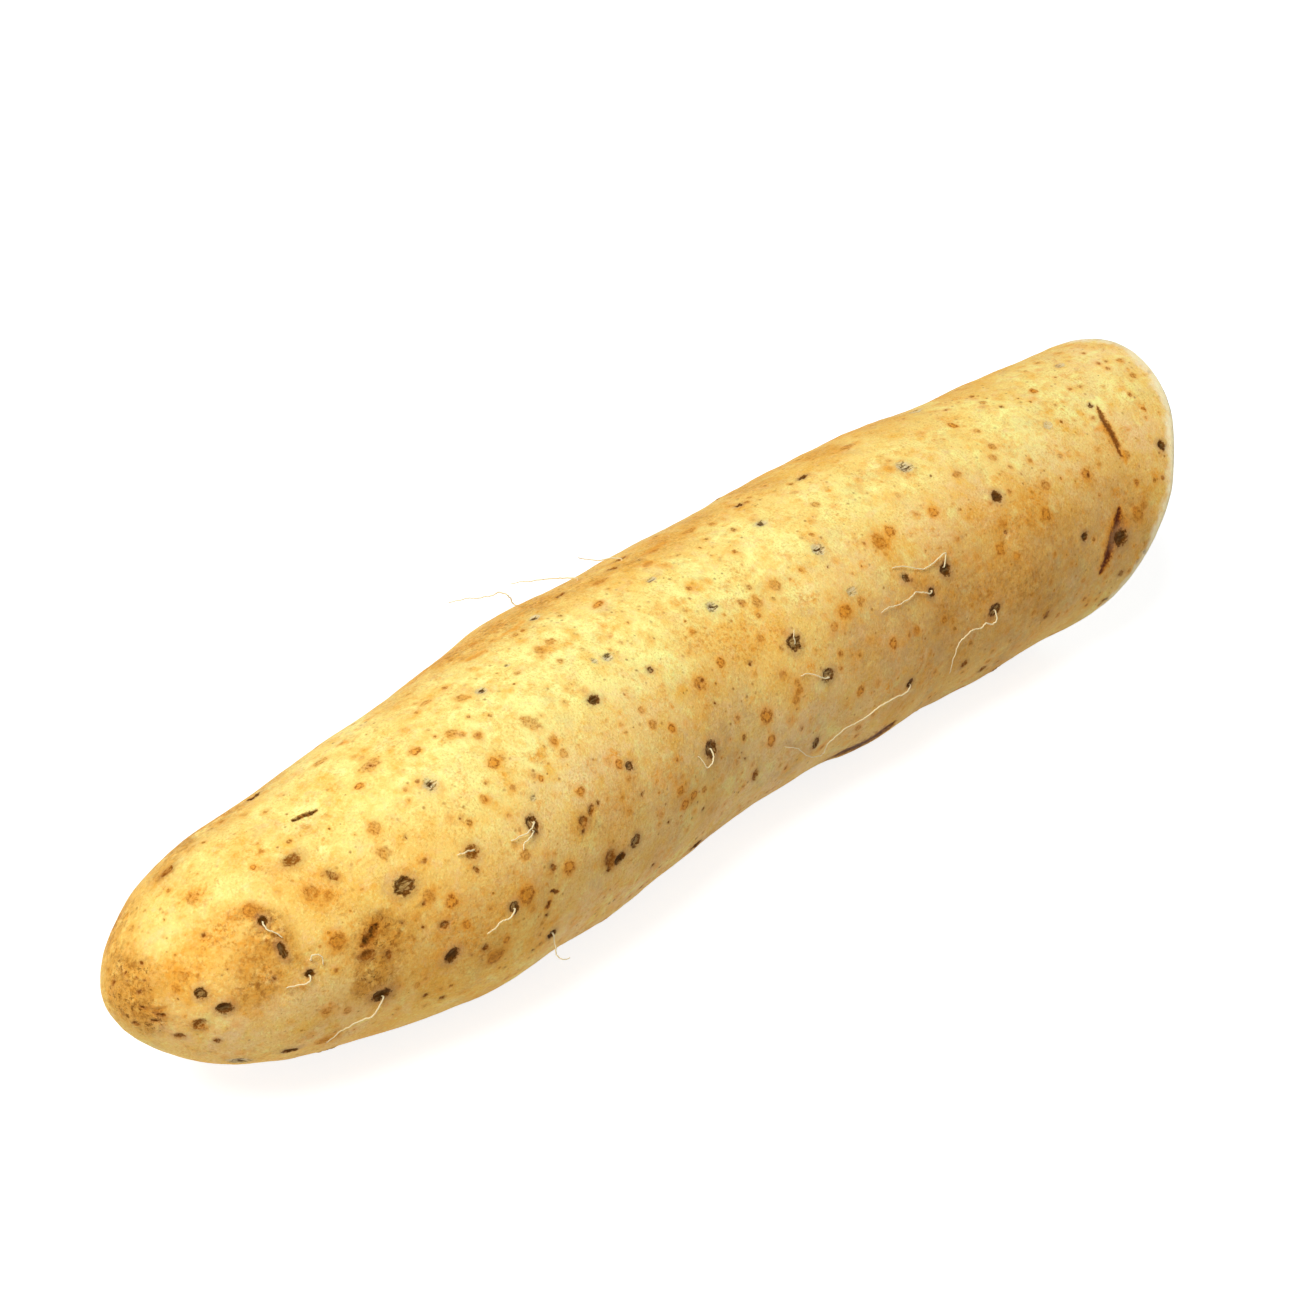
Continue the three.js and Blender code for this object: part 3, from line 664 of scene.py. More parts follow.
def nearest_slit(points, surface):
    """Each point's distance to the nearest slit, in half-widths of that slit, and that slit's look; the
    painted shadow stripe counts as a slit here.
    """
    distance = np.full(len(points), FAR)
    looks = np.zeros((len(points), 2))
    for slit in SLITS_AND_SHADOW_STRIPE:
        line = np.array([surface.point(*place) for place in slit.places])
        spans = len(line) - 1
        for i, (start, end) in enumerate(zip(line, line[1:])):
            span = end - start
            t = np.clip((points - start) @ span / (span @ span), 0, 1)
            whole = (i + t) / spans
            fullness = np.sqrt(np.clip(4 * whole * (1 - whole), 0, 1))  # 1 halfway, 0 at both ends
            half_width = slit.width / 2 * MM * (SLIT_END + (1 - SLIT_END) * fullness)
            here = np.linalg.norm(points - start - t[:, None] * span, axis=1) / half_width
            closer = here < distance
            distance[closer] = here[closer]
            looks[closer] = (slit.dark, slit.warm)
    return distance, looks


def patch_amounts(points, patches, surface):
    """How much of each of a patch's three colours lies at each point."""
    amounts = np.zeros((len(points), 3))
    for along, around, width, *colours in patches:
        gap = np.linalg.norm(points - surface.point(along, around), axis=1) / (width / 2 * MM)
        amounts += np.exp(-1.2 * gap**2)[:, None] * colours * (1 - amounts)
    return amounts


class Cage:
    """A box of square faces, with rows along the axis, that folds onto the tuber without poles."""

    SLACK = 1e-4  # how near the box's end or edge counts as on it

    def __init__(self, surface, across, body_rows):
        self.surface = surface
        self.tip_rows = across // 2
        self.rows = self.tip_rows + body_rows
        self.bm = bmesh.new()
        bmesh.ops.create_cube(self.bm, size=2)
        for axis, parts in enumerate((self.rows, across, across)):
            edges = [e for e in self.bm.edges if abs(e.verts[0].co[axis] - e.verts[1].co[axis]) > 1]
            bmesh.ops.subdivide_edges(self.bm, edges=edges, cuts=parts - 1, use_grid_fill=True)
        for v in self.bm.verts:
            v.co.x = (v.co.x + 1) / 2 * self.rows

    def in_box(self):
        """Each vertex's row, its place across from -1 to 1 each way, and its share of the way out."""
        box = points_of(self.bm.verts)
        return box[:, 0], box[:, 1], box[:, 2], np.abs(box[:, 1:]).max(axis=1)

    def folded(self):
        """The vertices' places on the tuber and its cut face."""
        row, side_ways, up_ways, share_out = self.in_box()
        side_ways, up_ways = np.tan(side_ways * math.pi / 4), np.tan(up_ways * math.pi / 4)
        angle = np.arctan2(-side_ways, up_ways)
        forward = np.tan(np.clip(1 - row / self.tip_rows, 0, 1) * math.pi / 4)
        from_tip = np.arctan2(np.hypot(side_ways, up_ways), forward) / (math.pi / 2)
        body = (row - self.tip_rows) / (self.rows - self.tip_rows)
        ring = self.surface.TIP_RINGS * from_tip
        ring = ring + (self.surface.rows - self.surface.TIP_RINGS) * np.clip(body, 0, 1)
        points = self.surface.at(ring, angle)
        centre = self.surface.cut_centre
        return np.where(self.on_cut()[:, None], centre + (points - centre) * share_out[:, None], points)

    def on_cut(self):
        """Which vertices lie on the cut face."""
        return self.in_box()[0] > self.rows - self.SLACK

    def on_rim(self):
        """Which vertices lie on the cut face's edge."""
        return self.on_cut() & (self.in_box()[3] > 1 - self.SLACK)

    def refine(self, chosen):
        """Halves the edges between chosen vertices."""
        bmesh.ops.subdivide_edges(self.bm, edges=self.edges_of(chosen), cuts=1, use_grid_fill=True)

    def edges_of(self, chosen):
        """The edges between chosen vertices."""
        self.bm.verts.index_update()
        return [e for e in self.bm.edges if chosen[e.verts[0].index] and chosen[e.verts[1].index]]


def points_of(verts):
    """The vertices' places as rows of numbers."""
    return np.array([v.co for v in verts])


def noise_at(points, size_mm):
    """Smooth noise at each point, with features of a size."""
    return np.array([noise.noise(Vector(p) / (size_mm * MM)) for p in points])


def hump(distance, middle, width):
    """A smooth rise of 1 at a distance, that dies away over a width."""
    return np.exp(-(((distance - middle) / width) ** 2))


LUMP_SIZE = 16
SMALL_LUMP_SIZE = 7
RIPPLE_SIZE = 2.2


def skin_heights(points, scar, rust, slit, settings):
    """How far each point moves along its normal: lumps, ripples, scars, rust spots and slits.

    Distances are in a mark's radii. A pit has a bump in it where the scar is hollow, and a rim.
    """
    ripples = noise_at(points, RIPPLE_SIZE)
    lumps = noise_at(points, LUMP_SIZE) + 0.5 * noise_at(points, SMALL_LUMP_SIZE)
    height = settings.lumps * lumps + settings.ripples * ripples

    distance, (dark, hollow, _) = scar[0] * (1 + 0.25 * ripples), scar[1].T
    pit = np.clip(1 - distance, 0, 1) ** 0.6 - 0.9 * hump(distance, 0, 0.3) * hollow
    rim = hump(distance, 1.15, 0.3)
    height += (0.4 + 0.6 * dark) * (settings.rim_height * rim - settings.pit_depth * pit)

    height += 0.35 * settings.rim_height * hump(rust[0], 0.75, 0.35) * rust[1][:, 0]

    groove = np.clip(1 - slit[0], 0, 1) ** 0.7
    lip = 0.3 * hump(slit[0], 1.4, 0.5)
    height += slit[1][:, 0] * (settings.rim_height * lip - settings.slit_depth * groove)
    return height


def store(mesh, name, *columns):
    """Keeps up to three numbers for each vertex, for the materials to read."""
    values = np.zeros((len(mesh.vertices), 3), np.float32)
    for i, column in enumerate(columns):
        values[:, i] = column
    mesh.attributes.new(name, "FLOAT_VECTOR", "POINT").data.foreach_set("vector", values.ravel())


SCAR_REACH = 1.9  # radii round a mark where the mesh is made fine
PIT_REACH = 1.35  # radii round a scar where it is made finer still
ON_FACE = 0.02 * MM  # how near the cut's plane counts as on it
NO_RIM = 99 * MM  # stored as the distance to the rim away from the cut face


def mesh_tuber(surface, scars, rust, settings):
    """The tuber's smooth mesh, fine round its marks, with a rounded edge at the cut."""
    cage = Cage(surface, settings.across, settings.body_rows)
    for reach, marks in ((SCAR_REACH, [scars, rust]), (PIT_REACH, [scars])):
        points = cage.folded()
        near = nearest_slit(points, surface)[0] < reach
        for some in marks:
            near |= nearest_mark(points, some, surface)[0] < reach
        cage.refine(near)

    bm = cage.bm
    on_cut = cage.on_cut()
    rim = cage.edges_of(cage.on_rim())
    for v, place in zip(bm.verts, cage.folded()):
        v.co = place
    for face in bm.faces:
        face.smooth = True
        face.material_index = int(all(on_cut[v.index] for v in face.verts))
    bmesh.ops.bevel(
        bm, geom=rim, offset=settings.cut_edge, affect="EDGES", segments=2, profile=0.5, material=-1,
        clamp_overlap=True,
    )
    bmesh.ops.triangulate(bm, faces=[f for f in bm.faces if len(f.verts) > 4])
    bm.normal_update()
    return bm


def grow_skin(settings):
    """The whole tuber as one closed mesh: skin and cut face."""
    surface = Surface()
    scars, rusts, stains, tones = all_marks(surface)
    bm = mesh_tuber(surface, scars, rusts, settings)
    points = points_of(bm.verts)
    scar = nearest_mark(points, scars, surface)
    rust = nearest_mark(points, rusts, surface)
    slit = nearest_slit(points, surface)

    behind_cut = (surface.cut_centre - points) @ surface.cut_normal()
    on_face = behind_cut < ON_FACE
    rim = surface.at(surface.rows, np.radians(np.arange(360)))
    inside = np.full(len(points), NO_RIM)
    inside[on_face] = [np.linalg.norm(rim - point, axis=1).min() for point in points[on_face]]

    heights = np.where(on_face, 0, skin_heights(points, scar, rust, slit, settings))
    moved = points + np.array([v.normal for v in bm.verts]) * heights[:, None]
    moved[:, 2] = np.maximum(moved[:, 2], CAD_BOX[0].z)
    for v, place in zip(bm.verts, moved):
        v.co = place

    mesh = bpy.data.meshes.new("grown_tuber")
    bm.to_mesh(mesh)
    bm.free()
    for name, (distance, looks, *_) in (("scar", scar), ("rust", rust), ("slit", slit)):
        store(mesh, name, distance, looks[:, 0], looks[:, 1])
    store(mesh, "stain", *patch_amounts(points, stains, surface).T)
    store(mesh, "tone", *patch_amounts(points, tones, surface).T)
    store(mesh, "tint", scar[1][:, 2], behind_cut / MM, inside / MM)
    store(mesh, "scar_place", *scar[2].T)
    return mesh


# ---------------------------------------------------------------- materials


class Shader:
    """A short way to write a material or a world: each call adds a node and gives back its output."""

    def __init__(self, owner):
        self.owner = owner
        owner.use_nodes = True
        self.tree = owner.node_tree
        self.tree.nodes.clear()

    @cached_property
    def where(self):
        """The place on the piece."""
        return self.add("ShaderNodeTexCoord").outputs["Object"]

    def add(self, kind, **values):
        """A node of a kind, with its own properties set."""
        node = self.tree.nodes.new(kind)
        for name, value in values.items():
            setattr(node, name, value)
        return node

    def put(self, socket, value):
        """Links an output to a socket, or sets a plain number or colour on it."""
        if isinstance(value, bpy.types.NodeSocket):
            self.tree.links.new(value, socket)
        elif hasattr(value, "__len__"):
            socket.default_value = (*value, 1)[: len(socket.default_value)]
        else:
            socket.default_value = value

    def kept(self, name):
        """The three numbers stored on the mesh under a name."""
        attribute = self.add("ShaderNodeAttribute", attribute_name=name)
        split = self.add("ShaderNodeSeparateXYZ")
        self.put(split.inputs[0], attribute.outputs["Vector"])
        return split.outputs

    def stretched(self, x, y, z, where=None):
        """A place, on the piece if not given, scaled to draw a pattern longer or shorter each way."""
        node = self.add("ShaderNodeMapping")
        self.put(node.inputs["Vector"], where or self.where)
        node.inputs["Scale"].default_value = (x, y, z)
        return node.outputs[0]

    def pattern(self, kind, size, where=None, **values):
        """A texture node of a kind, with features of a size in millimetres."""
        node = self.add(kind)
        self.put(node.inputs["Vector"], where or self.where)
        for name, value in {"Scale": 1 / (size * MM), **values}.items():
            node.inputs[name].default_value = value
        return node.outputs

    def noise(self, size, detail=2.0, rough=0.5, where=None, twist=0.0):
        """Smooth noise from 0 to 1."""
        values = {"Detail": detail, "Roughness": rough, "Distortion": twist}
        return self.pattern("ShaderNodeTexNoise", size, where, **values)["Fac"]

    def shaken(self, size, amount):
        """The place on the piece, shifted a little by noise, both in millimetres."""
        shift = self.add("ShaderNodeVectorMath", operation="MULTIPLY_ADD")
        self.put(shift.inputs[0], self.pattern("ShaderNodeTexNoise", size)["Color"])
        shift.inputs[1].default_value = [2 * amount * MM] * 3
        self.put(shift.inputs[2], self.where)
        return shift.outputs[0]

    def dots(self, size, smallest, largest, where):
        """Scattered dots, a size apart: the distance in radii, and two draws for each dot."""
        cells = self.pattern("ShaderNodeTexVoronoi", size, where)
        split = self.add("ShaderNodeSeparateXYZ")
        self.put(split.inputs[0], cells["Color"])
        radius = self.ramp(split.outputs[0], 0.2, 1, smallest / size, largest / size)
        return self.maths("DIVIDE", cells["Distance"], radius), split.outputs[1], split.outputs[2]

    def maths(self, kind, a, b):
        """One sum on two numbers."""
        node = self.add("ShaderNodeMath", operation=kind)
        self.put(node.inputs[0], a)
        self.put(node.inputs[1], b)
        return node.outputs[0]

    def times(self, first, *others):
        """All the numbers multiplied."""
        for other in others:
            first = self.maths("MULTIPLY", first, other)
        return first

    def plus(self, first, *others):
        """All the numbers added."""
        for other in others:
            first = self.maths("ADD", first, other)
        return first

    def larger(self, first, *others):
        """The largest of the numbers."""
        for other in others:
            first = self.maths("MAXIMUM", first, other)
        return first

    def without(self, *shares):
        """What is left of 1 without the product of some shares."""
        return self.maths("SUBTRACT", 1, self.times(*shares))

    def ramp(self, value, low, high, out_low=0.0, out_high=1.0):
        """Turns a number from low to high smoothly into one from out_low to out_high."""
        node = self.add("ShaderNodeMapRange", interpolation_type="SMOOTHSTEP")
        for socket, number in zip(node.inputs, (value, low, high, out_low, out_high)):
            self.put(socket, number)
        return node.outputs[0]

    def frayed(self, distance, pattern, most):
        """A distance made uneven by a noise pattern, by as much as most either way."""
        return self.plus(distance, self.ramp(pattern, 0.2, 0.8, -most, most))

    def mix(self, amount, under, over):
        """The colour over laid on the colour under by an amount."""
        node = self.add("ShaderNodeMix", data_type="RGBA", clamp_factor=True)
        self.put(node.inputs["Factor"], amount)
        self.put(node.inputs["A"], under)
        self.put(node.inputs["B"], over)
        return node.outputs["Result"]

    def lay(self, colour, *amounts):
        """Lays a colour on what is there so far, by the product of some amounts."""
        self.colour = self.mix(self.times(*amounts), self.colour, colour)

    def finish(self, roughness, relief, relief_mm, specular, softness):
        """The surface itself, with a relief too fine for the mesh."""
        bump = self.add("ShaderNodeBump")
        bump.inputs["Distance"].default_value = relief_mm * MM
        self.put(bump.inputs["Height"], relief)
        shader = self.add("ShaderNodeBsdfPrincipled")
        self.put(shader.inputs["Base Color"], self.colour)
        self.put(shader.inputs["Roughness"], roughness)
        self.put(shader.inputs["Normal"], bump.outputs[0])
        shader.inputs["Specular IOR Level"].default_value = specular
        shader.inputs["Subsurface Weight"].default_value = softness
        shader.inputs["Subsurface Radius"].default_value = (1.0, 0.6, 0.3)
        shader.inputs["Subsurface Scale"].default_value = 1.5 * MM
        return self.show(shader)

    def seen(self):
        """1 for the rays that see the white background, and 0 for the rest."""
        path = self.add("ShaderNodeLightPath")
        return self.larger(*(path.outputs[ray] for ray in BACKGROUND_RAYS))

    def show(self, shader, output="ShaderNodeOutputMaterial"):
        """The material or world, with a shader node as what shows."""
        self.put(self.add(output).inputs["Surface"], shader.outputs[0])
        return self.owner


class SkinShader(Shader):
    """The skin's shader, with the amounts kept on the mesh and the patterns that its layers share."""

    def __init__(self, owner):
        super().__init__(owner)
        # the tone amounts hold the skin's tones together with painted light on the top and painted shade
        # below
        self.yellow, self.peach, self.olive = self.kept("tone")
        # the soil-brown amounts also hold the painted shade on the far half's lower flank
        self.brown, self.dirt, self.orange = self.kept("stain")
        self.brownness, self.behind_cut, _ = self.kept("tint")
        self.fine = self.noise(0.5, 2, 0.6)
        self.edge = self.noise(0.9, 4, 0.7)
        self.speckle = self.ramp(self.noise(0.7, 3, 0.65), 0.42, 0.60)
        self.wash = self.ramp(self.noise(4, 4, 0.65), 0.30, 0.55)


def lay_tones_and_painted_shading(n, s):
    """Clouds of the skin's colours, down to a fine grain; the placed tones also paint light on the top and
    shade on the lower flank and lower edge.
    """
    n.colour = n.mix(n.ramp(n.noise(13, 4, 0.6), 0.42, 0.64), s.gold, s.amber)
    patchy = n.ramp(n.noise(5, 5, 0.65), 0.30, 0.60)
    # the placed peach, yellow and olive amounts paint light on the top and shade below, besides the skin's
    # tones
    n.lay(s.peach, n.peach, patchy, 0.85)
    pale_clouds = n.ramp(n.noise(7, 5, 0.65, twist=0.5), 0.52, 0.70, 0, 0.6)
    n.lay(s.yellow, n.plus(n.times(n.yellow, patchy), pale_clouds))
    dull_clouds = n.ramp(n.noise(7, 4, 0.65, n.shaken(5, 3)), 0.50, 0.75, 0, 0.4)
    dull = n.plus(n.times(n.olive, 0.8), dull_clouds)
    n.lay(s.olive, dull, n.ramp(n.noise(2.8, 5, 0.7), 0.3, 0.62, 0.4, 1))
    n.lay(s.amber, n.ramp(n.noise(1.6, 4, 0.75), 0.52, 0.72, 0, 0.55))
    pale_grain = n.ramp(n.noise(0.75, 3, 0.75), 0.50, 0.72, 0, 0.5)
    n.lay(s.yellow, pale_grain, n.ramp(n.olive, 0, 1, 1, 0.4))
    n.lay(s.peach, n.ramp(n.noise(3.4, 5, 0.7, n.shaken(4, 2)), 0.50, 0.68, 0, 0.35))
    clumps = n.ramp(n.noise(8, 4, 0.65), 0.32, 0.66, 0.05, 0.42)
    n.lay(s.grain, n.ramp(n.fine, 0.48, 0.66), clumps)


def lay_freckles(n, s):
    """Freckles of three sizes, denser in clouds, in stained places and where the skin is dull."""
    clouds = n.ramp(n.noise(11, 4, 0.6), 0.32, 0.66, 0, 0.6)
    crowd = n.plus(clouds, n.times(n.orange, 0.5), n.times(n.olive, 0.25))

    distance, first, second = n.dots(6.5, 0.9, 2, n.shaken(1.3, 0.9))
    present = n.times(n.ramp(n.plus(first, crowd), 0.6, 1.1), n.ramp(second, 0, 1, 0.3, 0.85))
    n.lay(s.orange, present, n.ramp(distance, 1.25, 0.4), n.ramp(n.speckle, 0, 1, 0.35, 1))

    distance, first, second = n.dots(2.9, 0.35, 0.85, n.shaken(0.9, 0.35))
    present = n.ramp(n.plus(first, crowd), 0.62, 1.05)
    n.lay(s.orange, present, n.ramp(distance, 2.6, 0.8), 0.4)
    core = n.times(present, n.ramp(distance, 1.15, 0.5), n.ramp(second, 0.1, 0.9, 0.3, 0.95))
    core_colour = n.mix(n.ramp(second, 0.6, 0.95), s.rust, s.soil)
    n.lay(core_colour, core, n.ramp(n.fine, 0.35, 0.55, 0.4, 1))

    distance, first, second = n.dots(1.35, 0.15, 0.42, n.shaken(0.5, 0.2))
    present = n.ramp(n.plus(first, crowd), 0.8, 1.15)
    speck_colour = n.mix(n.ramp(second, 0.6, 0.9), s.rust, s.soil)
    n.lay(speck_colour, present, n.ramp(distance, 1.4, 0.2), n.ramp(second, 0, 1, 0.1, 0.75))


def lay_orange_speckle(n, s):
    """Washes and speckles of orange, where the skin is stained so and in a few other clouds."""
    stray = n.ramp(n.noise(6, 4, 0.65, twist=0.6), 0.54, 0.70, 0, 0.6)
    patch = n.larger(stray, n.times(n.orange, n.ramp(n.noise(2.6, 4, 0.7), 0.32, 0.54)))
    n.lay(s.amber, n.orange, n.wash, 0.5)
    n.lay(s.orange, patch, n.ramp(n.speckle, 0, 1, 0.3, 1), 0.85)
    n.lay(s.rust, patch, n.ramp(n.edge, 0.50, 0.62), 0.6)


def lay_rust_spots(n, s):
    """Rust spots: a thin dark ring, a speckled middle and a soft halo."""
    distance, strength, ringed = n.kept("rust")
    distance = n.frayed(distance, n.noise(1.0, 3, 0.65), 0.4)
    n.lay(s.orange, n.ramp(distance, 2.2, 0.4), n.ramp(strength, 0.3, 1, 0.45, 0.8))
    hole = n.without(n.ramp(distance, 0.85, 0.45), ringed, 0.8)
    ring = n.times(n.ramp(distance, 1.25, 0.85), hole, n.ramp(strength, 0.3, 1, 0.5, 1))
    ring = n.times(ring, n.ramp(n.speckle, 0, 1, 0.45, 1))
    n.lay(s.rust, ring, 0.85)
    n.lay(s.soil, ring, n.ramp(n.fine, 0.46, 0.60), 0.8)


def lay_stains_and_painted_shade(n, s):
    """Stains of soil and dirt, broken up by noise; the broad brown patches among them are painted shade on
    the far half's lower flank.
    """
    # the broad brown patches laid here are painted shade on the far half's lower flank
    n.lay(n.mix(0.62, s.amber, s.rust), n.brown, n.wash, 0.8)
    mottle = n.ramp(n.noise(1.8, 6, 0.8, twist=0.35), 0.45, 0.63)
    n.lay(s.soil, n.ramp(n.brown, 0.05, 0.95), mottle, 0.75)
    least, most = n.ramp(n.dirt, 0, 1, 0.66, 0.52), n.ramp(n.dirt, 0, 1, 0.75, 0.62)
    blots = n.ramp(n.noise(1.3, 6, 0.8, twist=0.4), least, most)
    n.lay(n.mix(0.5, s.dirt, s.soil), n.ramp(n.dirt, 0.02, 0.25), blots, 0.9)


def lay_cracks_and_shadow_stripe(n, s):
    """Cracks, with a rust halo where they are fresh, and the wide dark stripe along the lower edge that is
    painted shadow where the tuber meets the floor.
    """
    distance, dark, warm = n.kept("slit")
    distance = n.frayed(distance, n.edge, 0.7)
    n.lay(s.orange, n.ramp(distance, 3.4, 0.6), warm, 0.6)
    n.lay(s.rust, n.ramp(distance, 1.9, 0.6), n.ramp(dark, 0.1, 0.8), 0.8)
    soiled = n.times(n.ramp(n.noise(1.4, 4, 0.7), 0.46, 0.56), n.ramp(dark, 0.85, 1, 1, 0.2))
    # for the wide stripe along the lower edge this dark core is painted shadow
    core = n.mix(n.ramp(warm, 0.6, 0.9), n.mix(soiled, s.scar, s.soil), s.wound)
    solid = n.ramp(n.fine, 0.35, 0.6, 0.75, 1)
    n.lay(core, n.ramp(distance, 1.4, 0.3), n.ramp(dark, 0.2, 0.9), solid)


def lay_root_scars(n, s):
    """Root scars: a shade about them, an ashy or dark pit, and pale fibres that run along it."""
    distance, dark, hollow = n.kept("scar")
    distance = n.frayed(distance, n.edge, 0.35)
    inside = n.add("ShaderNodeAttribute", attribute_name="scar_place").outputs["Vector"]
    strands = n.noise(0.55, 4, 0.65, n.stretched(0.35, 1, 1, inside), 0.6)
    shade = n.mix(n.ramp(n.brownness, 0, 1, 0.35, 0.75), s.olive, s.rust)
    n.lay(shade, n.ramp(distance, 2.6, 0.8), dark, 0.6)

    ashy = n.times(n.ramp(distance, 1.35, 0.7), n.ramp(dark, 0.6, 0.5))
    n.lay(s.ash, ashy, 0.4)
    n.lay(n.mix(0.45, s.peel, s.ash), ashy, n.ramp(strands, 0.42, 0.6), 0.7)
    n.lay(s.scar, ashy, n.ramp(strands, 0.49, 0.38), n.ramp(dark, 0, 0.3, 0.4, 0.85))

    small = n.times(n.ramp(distance, 0.7, 0.35), n.ramp(dark, 0.15, 0.35, 0, 0.9))
    small = n.times(small, n.ramp(strands, 0.6, 0.52))
    pit = n.larger(small, n.times(n.ramp(distance, 1.3, 0.85), n.ramp(dark, 0.5, 0.6)))
    broken = n.ramp(n.noise(0.8, 4, 0.75), 0.36, 0.56)
    pale_middle = n.times(n.ramp(distance, 0.85, 0.45), hollow, n.ramp(strands, 0.44, 0.54, 0.2, 0.8))
    solid = n.times(n.without(pale_middle), n.without(n.brownness, n.without(broken), 0.7))
    rusty = n.times(broken, n.ramp(distance, 0.3, 1, 0.1, 0.5))
    browner = n.plus(n.times(n.brownness, 0.85), rusty)
    n.lay(n.mix(browner, s.scar, s.soil), pit, solid)

    threads = n.times(n.ramp(strands, 0.53, 0.62), n.ramp(distance, 1.0, 0.7))
    threads = n.times(threads, n.ramp(n.brownness, 0, 0.6, 0.32, 0))
    n.lay(s.fibre, pit, threads, n.ramp(hollow, 0.1, 0.5, 0.3, 1))


def lay_cut_edge(n, s):
    """The skin is thin and pale where the knife left it."""
    ragged = n.frayed(n.behind_cut, n.noise(3.2, 3, 0.6), 1.1)
    n.lay(s.peel, n.ramp(ragged, 3.2, 0.6), 0.88)


SKIN_LAYERS = (
    lay_tones_and_painted_shading, lay_freckles, lay_orange_speckle, lay_rust_spots,
    lay_stains_and_painted_shade, lay_cracks_and_shadow_stripe, lay_root_scars, lay_cut_edge,
)


def skin_material(s):
    """Pale waxy skin, laid up from its base."""
    n = SkinShader(bpy.data.materials.new("yam_skin"))
    for lay_layer in SKIN_LAYERS:
        lay_layer(n, s)
    relief = n.plus(n.times(n.fine, 0.6), n.times(n.noise(1.6, 3, 0.6), 0.9))
    roughness = n.ramp(n.fine, 0.3, 0.7, 0.5, 0.66)
    return n.finish(roughness, relief, s.fine_relief / MM, specular=0.05, softness=0.1)


def flesh_material(s):
    """Moist cut flesh, whiter towards the skin, with a thin tan line where the skin ends."""
    n = Shader(bpy.data.materials.new("yam_flesh"))
    _, _, inside = n.kept("tint")
    n.colour = n.mix(n.ramp(inside, 2, 20), s.flesh, s.flesh_core)
    n.lay(s.flesh_core, n.ramp(n.noise(7, 4, 0.6), 0.40, 0.68, 0, 0.7))
    distance, first, second = n.dots(1.7, 0.16, 0.42, n.shaken(0.8, 0.3))
    fibres = n.times(n.ramp(distance, 1.2, 0.4), n.ramp(first, 0.3, 0.7), n.ramp(inside, 0.6, 3))
    n.lay(s.fibre, fibres, n.ramp(second, 0, 1, 0.25, 0.7))
    edge = n.frayed(inside, n.noise(1.4, 3, 0.6), 0.35)
    n.lay(s.peel, n.ramp(edge, 2.6, 1.2), 0.3)
    n.lay(s.amber, n.ramp(edge, 1.0, 0.3), 0.7)
    strokes = n.noise(2.2, 3, 0.6, n.stretched(1, 0.12, 1))
    n.lay(s.flesh_core, n.ramp(strokes, 0.5, 0.7, 0, 0.25))
    relief = n.plus(n.times(strokes, 0.7), n.times(n.noise(0.5, 2, 0.5), 0.5))
    return n.finish(n.ramp(strokes, 0.3, 0.7, 0.3, 0.5), relief, relief_mm=0.4, specular=0.45, softness=0.25)


def rootlet_material(s):
    """Dry pale fibre, tan where it leaves the scar."""
    n = Shader(bpy.data.materials.new("rootlet_fibre"))
    reach, _, _ = n.kept("growth")
    n.colour = n.mix(n.ramp(reach, 0.16, 0.0), s.cream, s.tan)
    n.lay(s.tan, n.ramp(n.noise(0.9, 3, 0.6), 0.5, 0.7), 0.45)
    roughness = n.ramp(n.noise(0.6), 0.3, 0.7, 0.55, 0.75)
    return n.finish(roughness, n.noise(0.25, 2, 0.6), relief_mm=0.05, specular=0.25, softness=0.1)


def floor_material(colour):
    """A pale floor that the camera sees as white, apart from the shadow on it."""
    n = Shader(bpy.data.materials.new("stage_floor"))
    seen = n.seen()
    lit = n.add("ShaderNodeBsdfDiffuse")
    n.put(lit.inputs["Color"], n.mix(seen, colour, SEEN_FLOOR))
    glow = n.add("ShaderNodeEmission")
    n.put(glow.inputs["Strength"], n.times(seen, SEEN_GLOW))
    both = n.add("ShaderNodeAddShader")
    n.put(both.inputs[0], lit.outputs[0])
    n.put(both.inputs[1], glow.outputs[0])
    return n.show(both)


# ---------------------------------------------------------------- rootlets


def smooth_path(points, steps):
    """A Catmull-Rom path through points, with steps between each two."""
    points = np.array([2 * points[0] - points[1], *points, 2 * points[-1] - points[-2]])
    path = []
    for i in range(len(points) - 3):
        for t in np.arange(steps) / steps:
            path.append(spline_weights(np.array(t)) @ points[i : i + 4])
    return np.array([*path, points[-2]])


def rootlet_path(route, surface, settings, seed):
    """A rootlet's kinked middle line, from inside its scar."""
    along, around, _ = route[0]
    places = [(along, around, -ROOT_DEPTH)] + [(a, b, lift - ROUTE_DROP) for a, b, lift in route]
    path = smooth_path([surface.above(*place) for place in places], settings.steps)
    draw = random.Random(seed)
    wander = np.zeros(3)
    for i in range(settings.steps, len(path)):
        wander = 0.6 * wander + settings.kink * np.array([draw.uniform(-1, 1) for _ in range(3)])
        path[i] += wander * min(1, (i - settings.steps) / settings.steps)
    return path


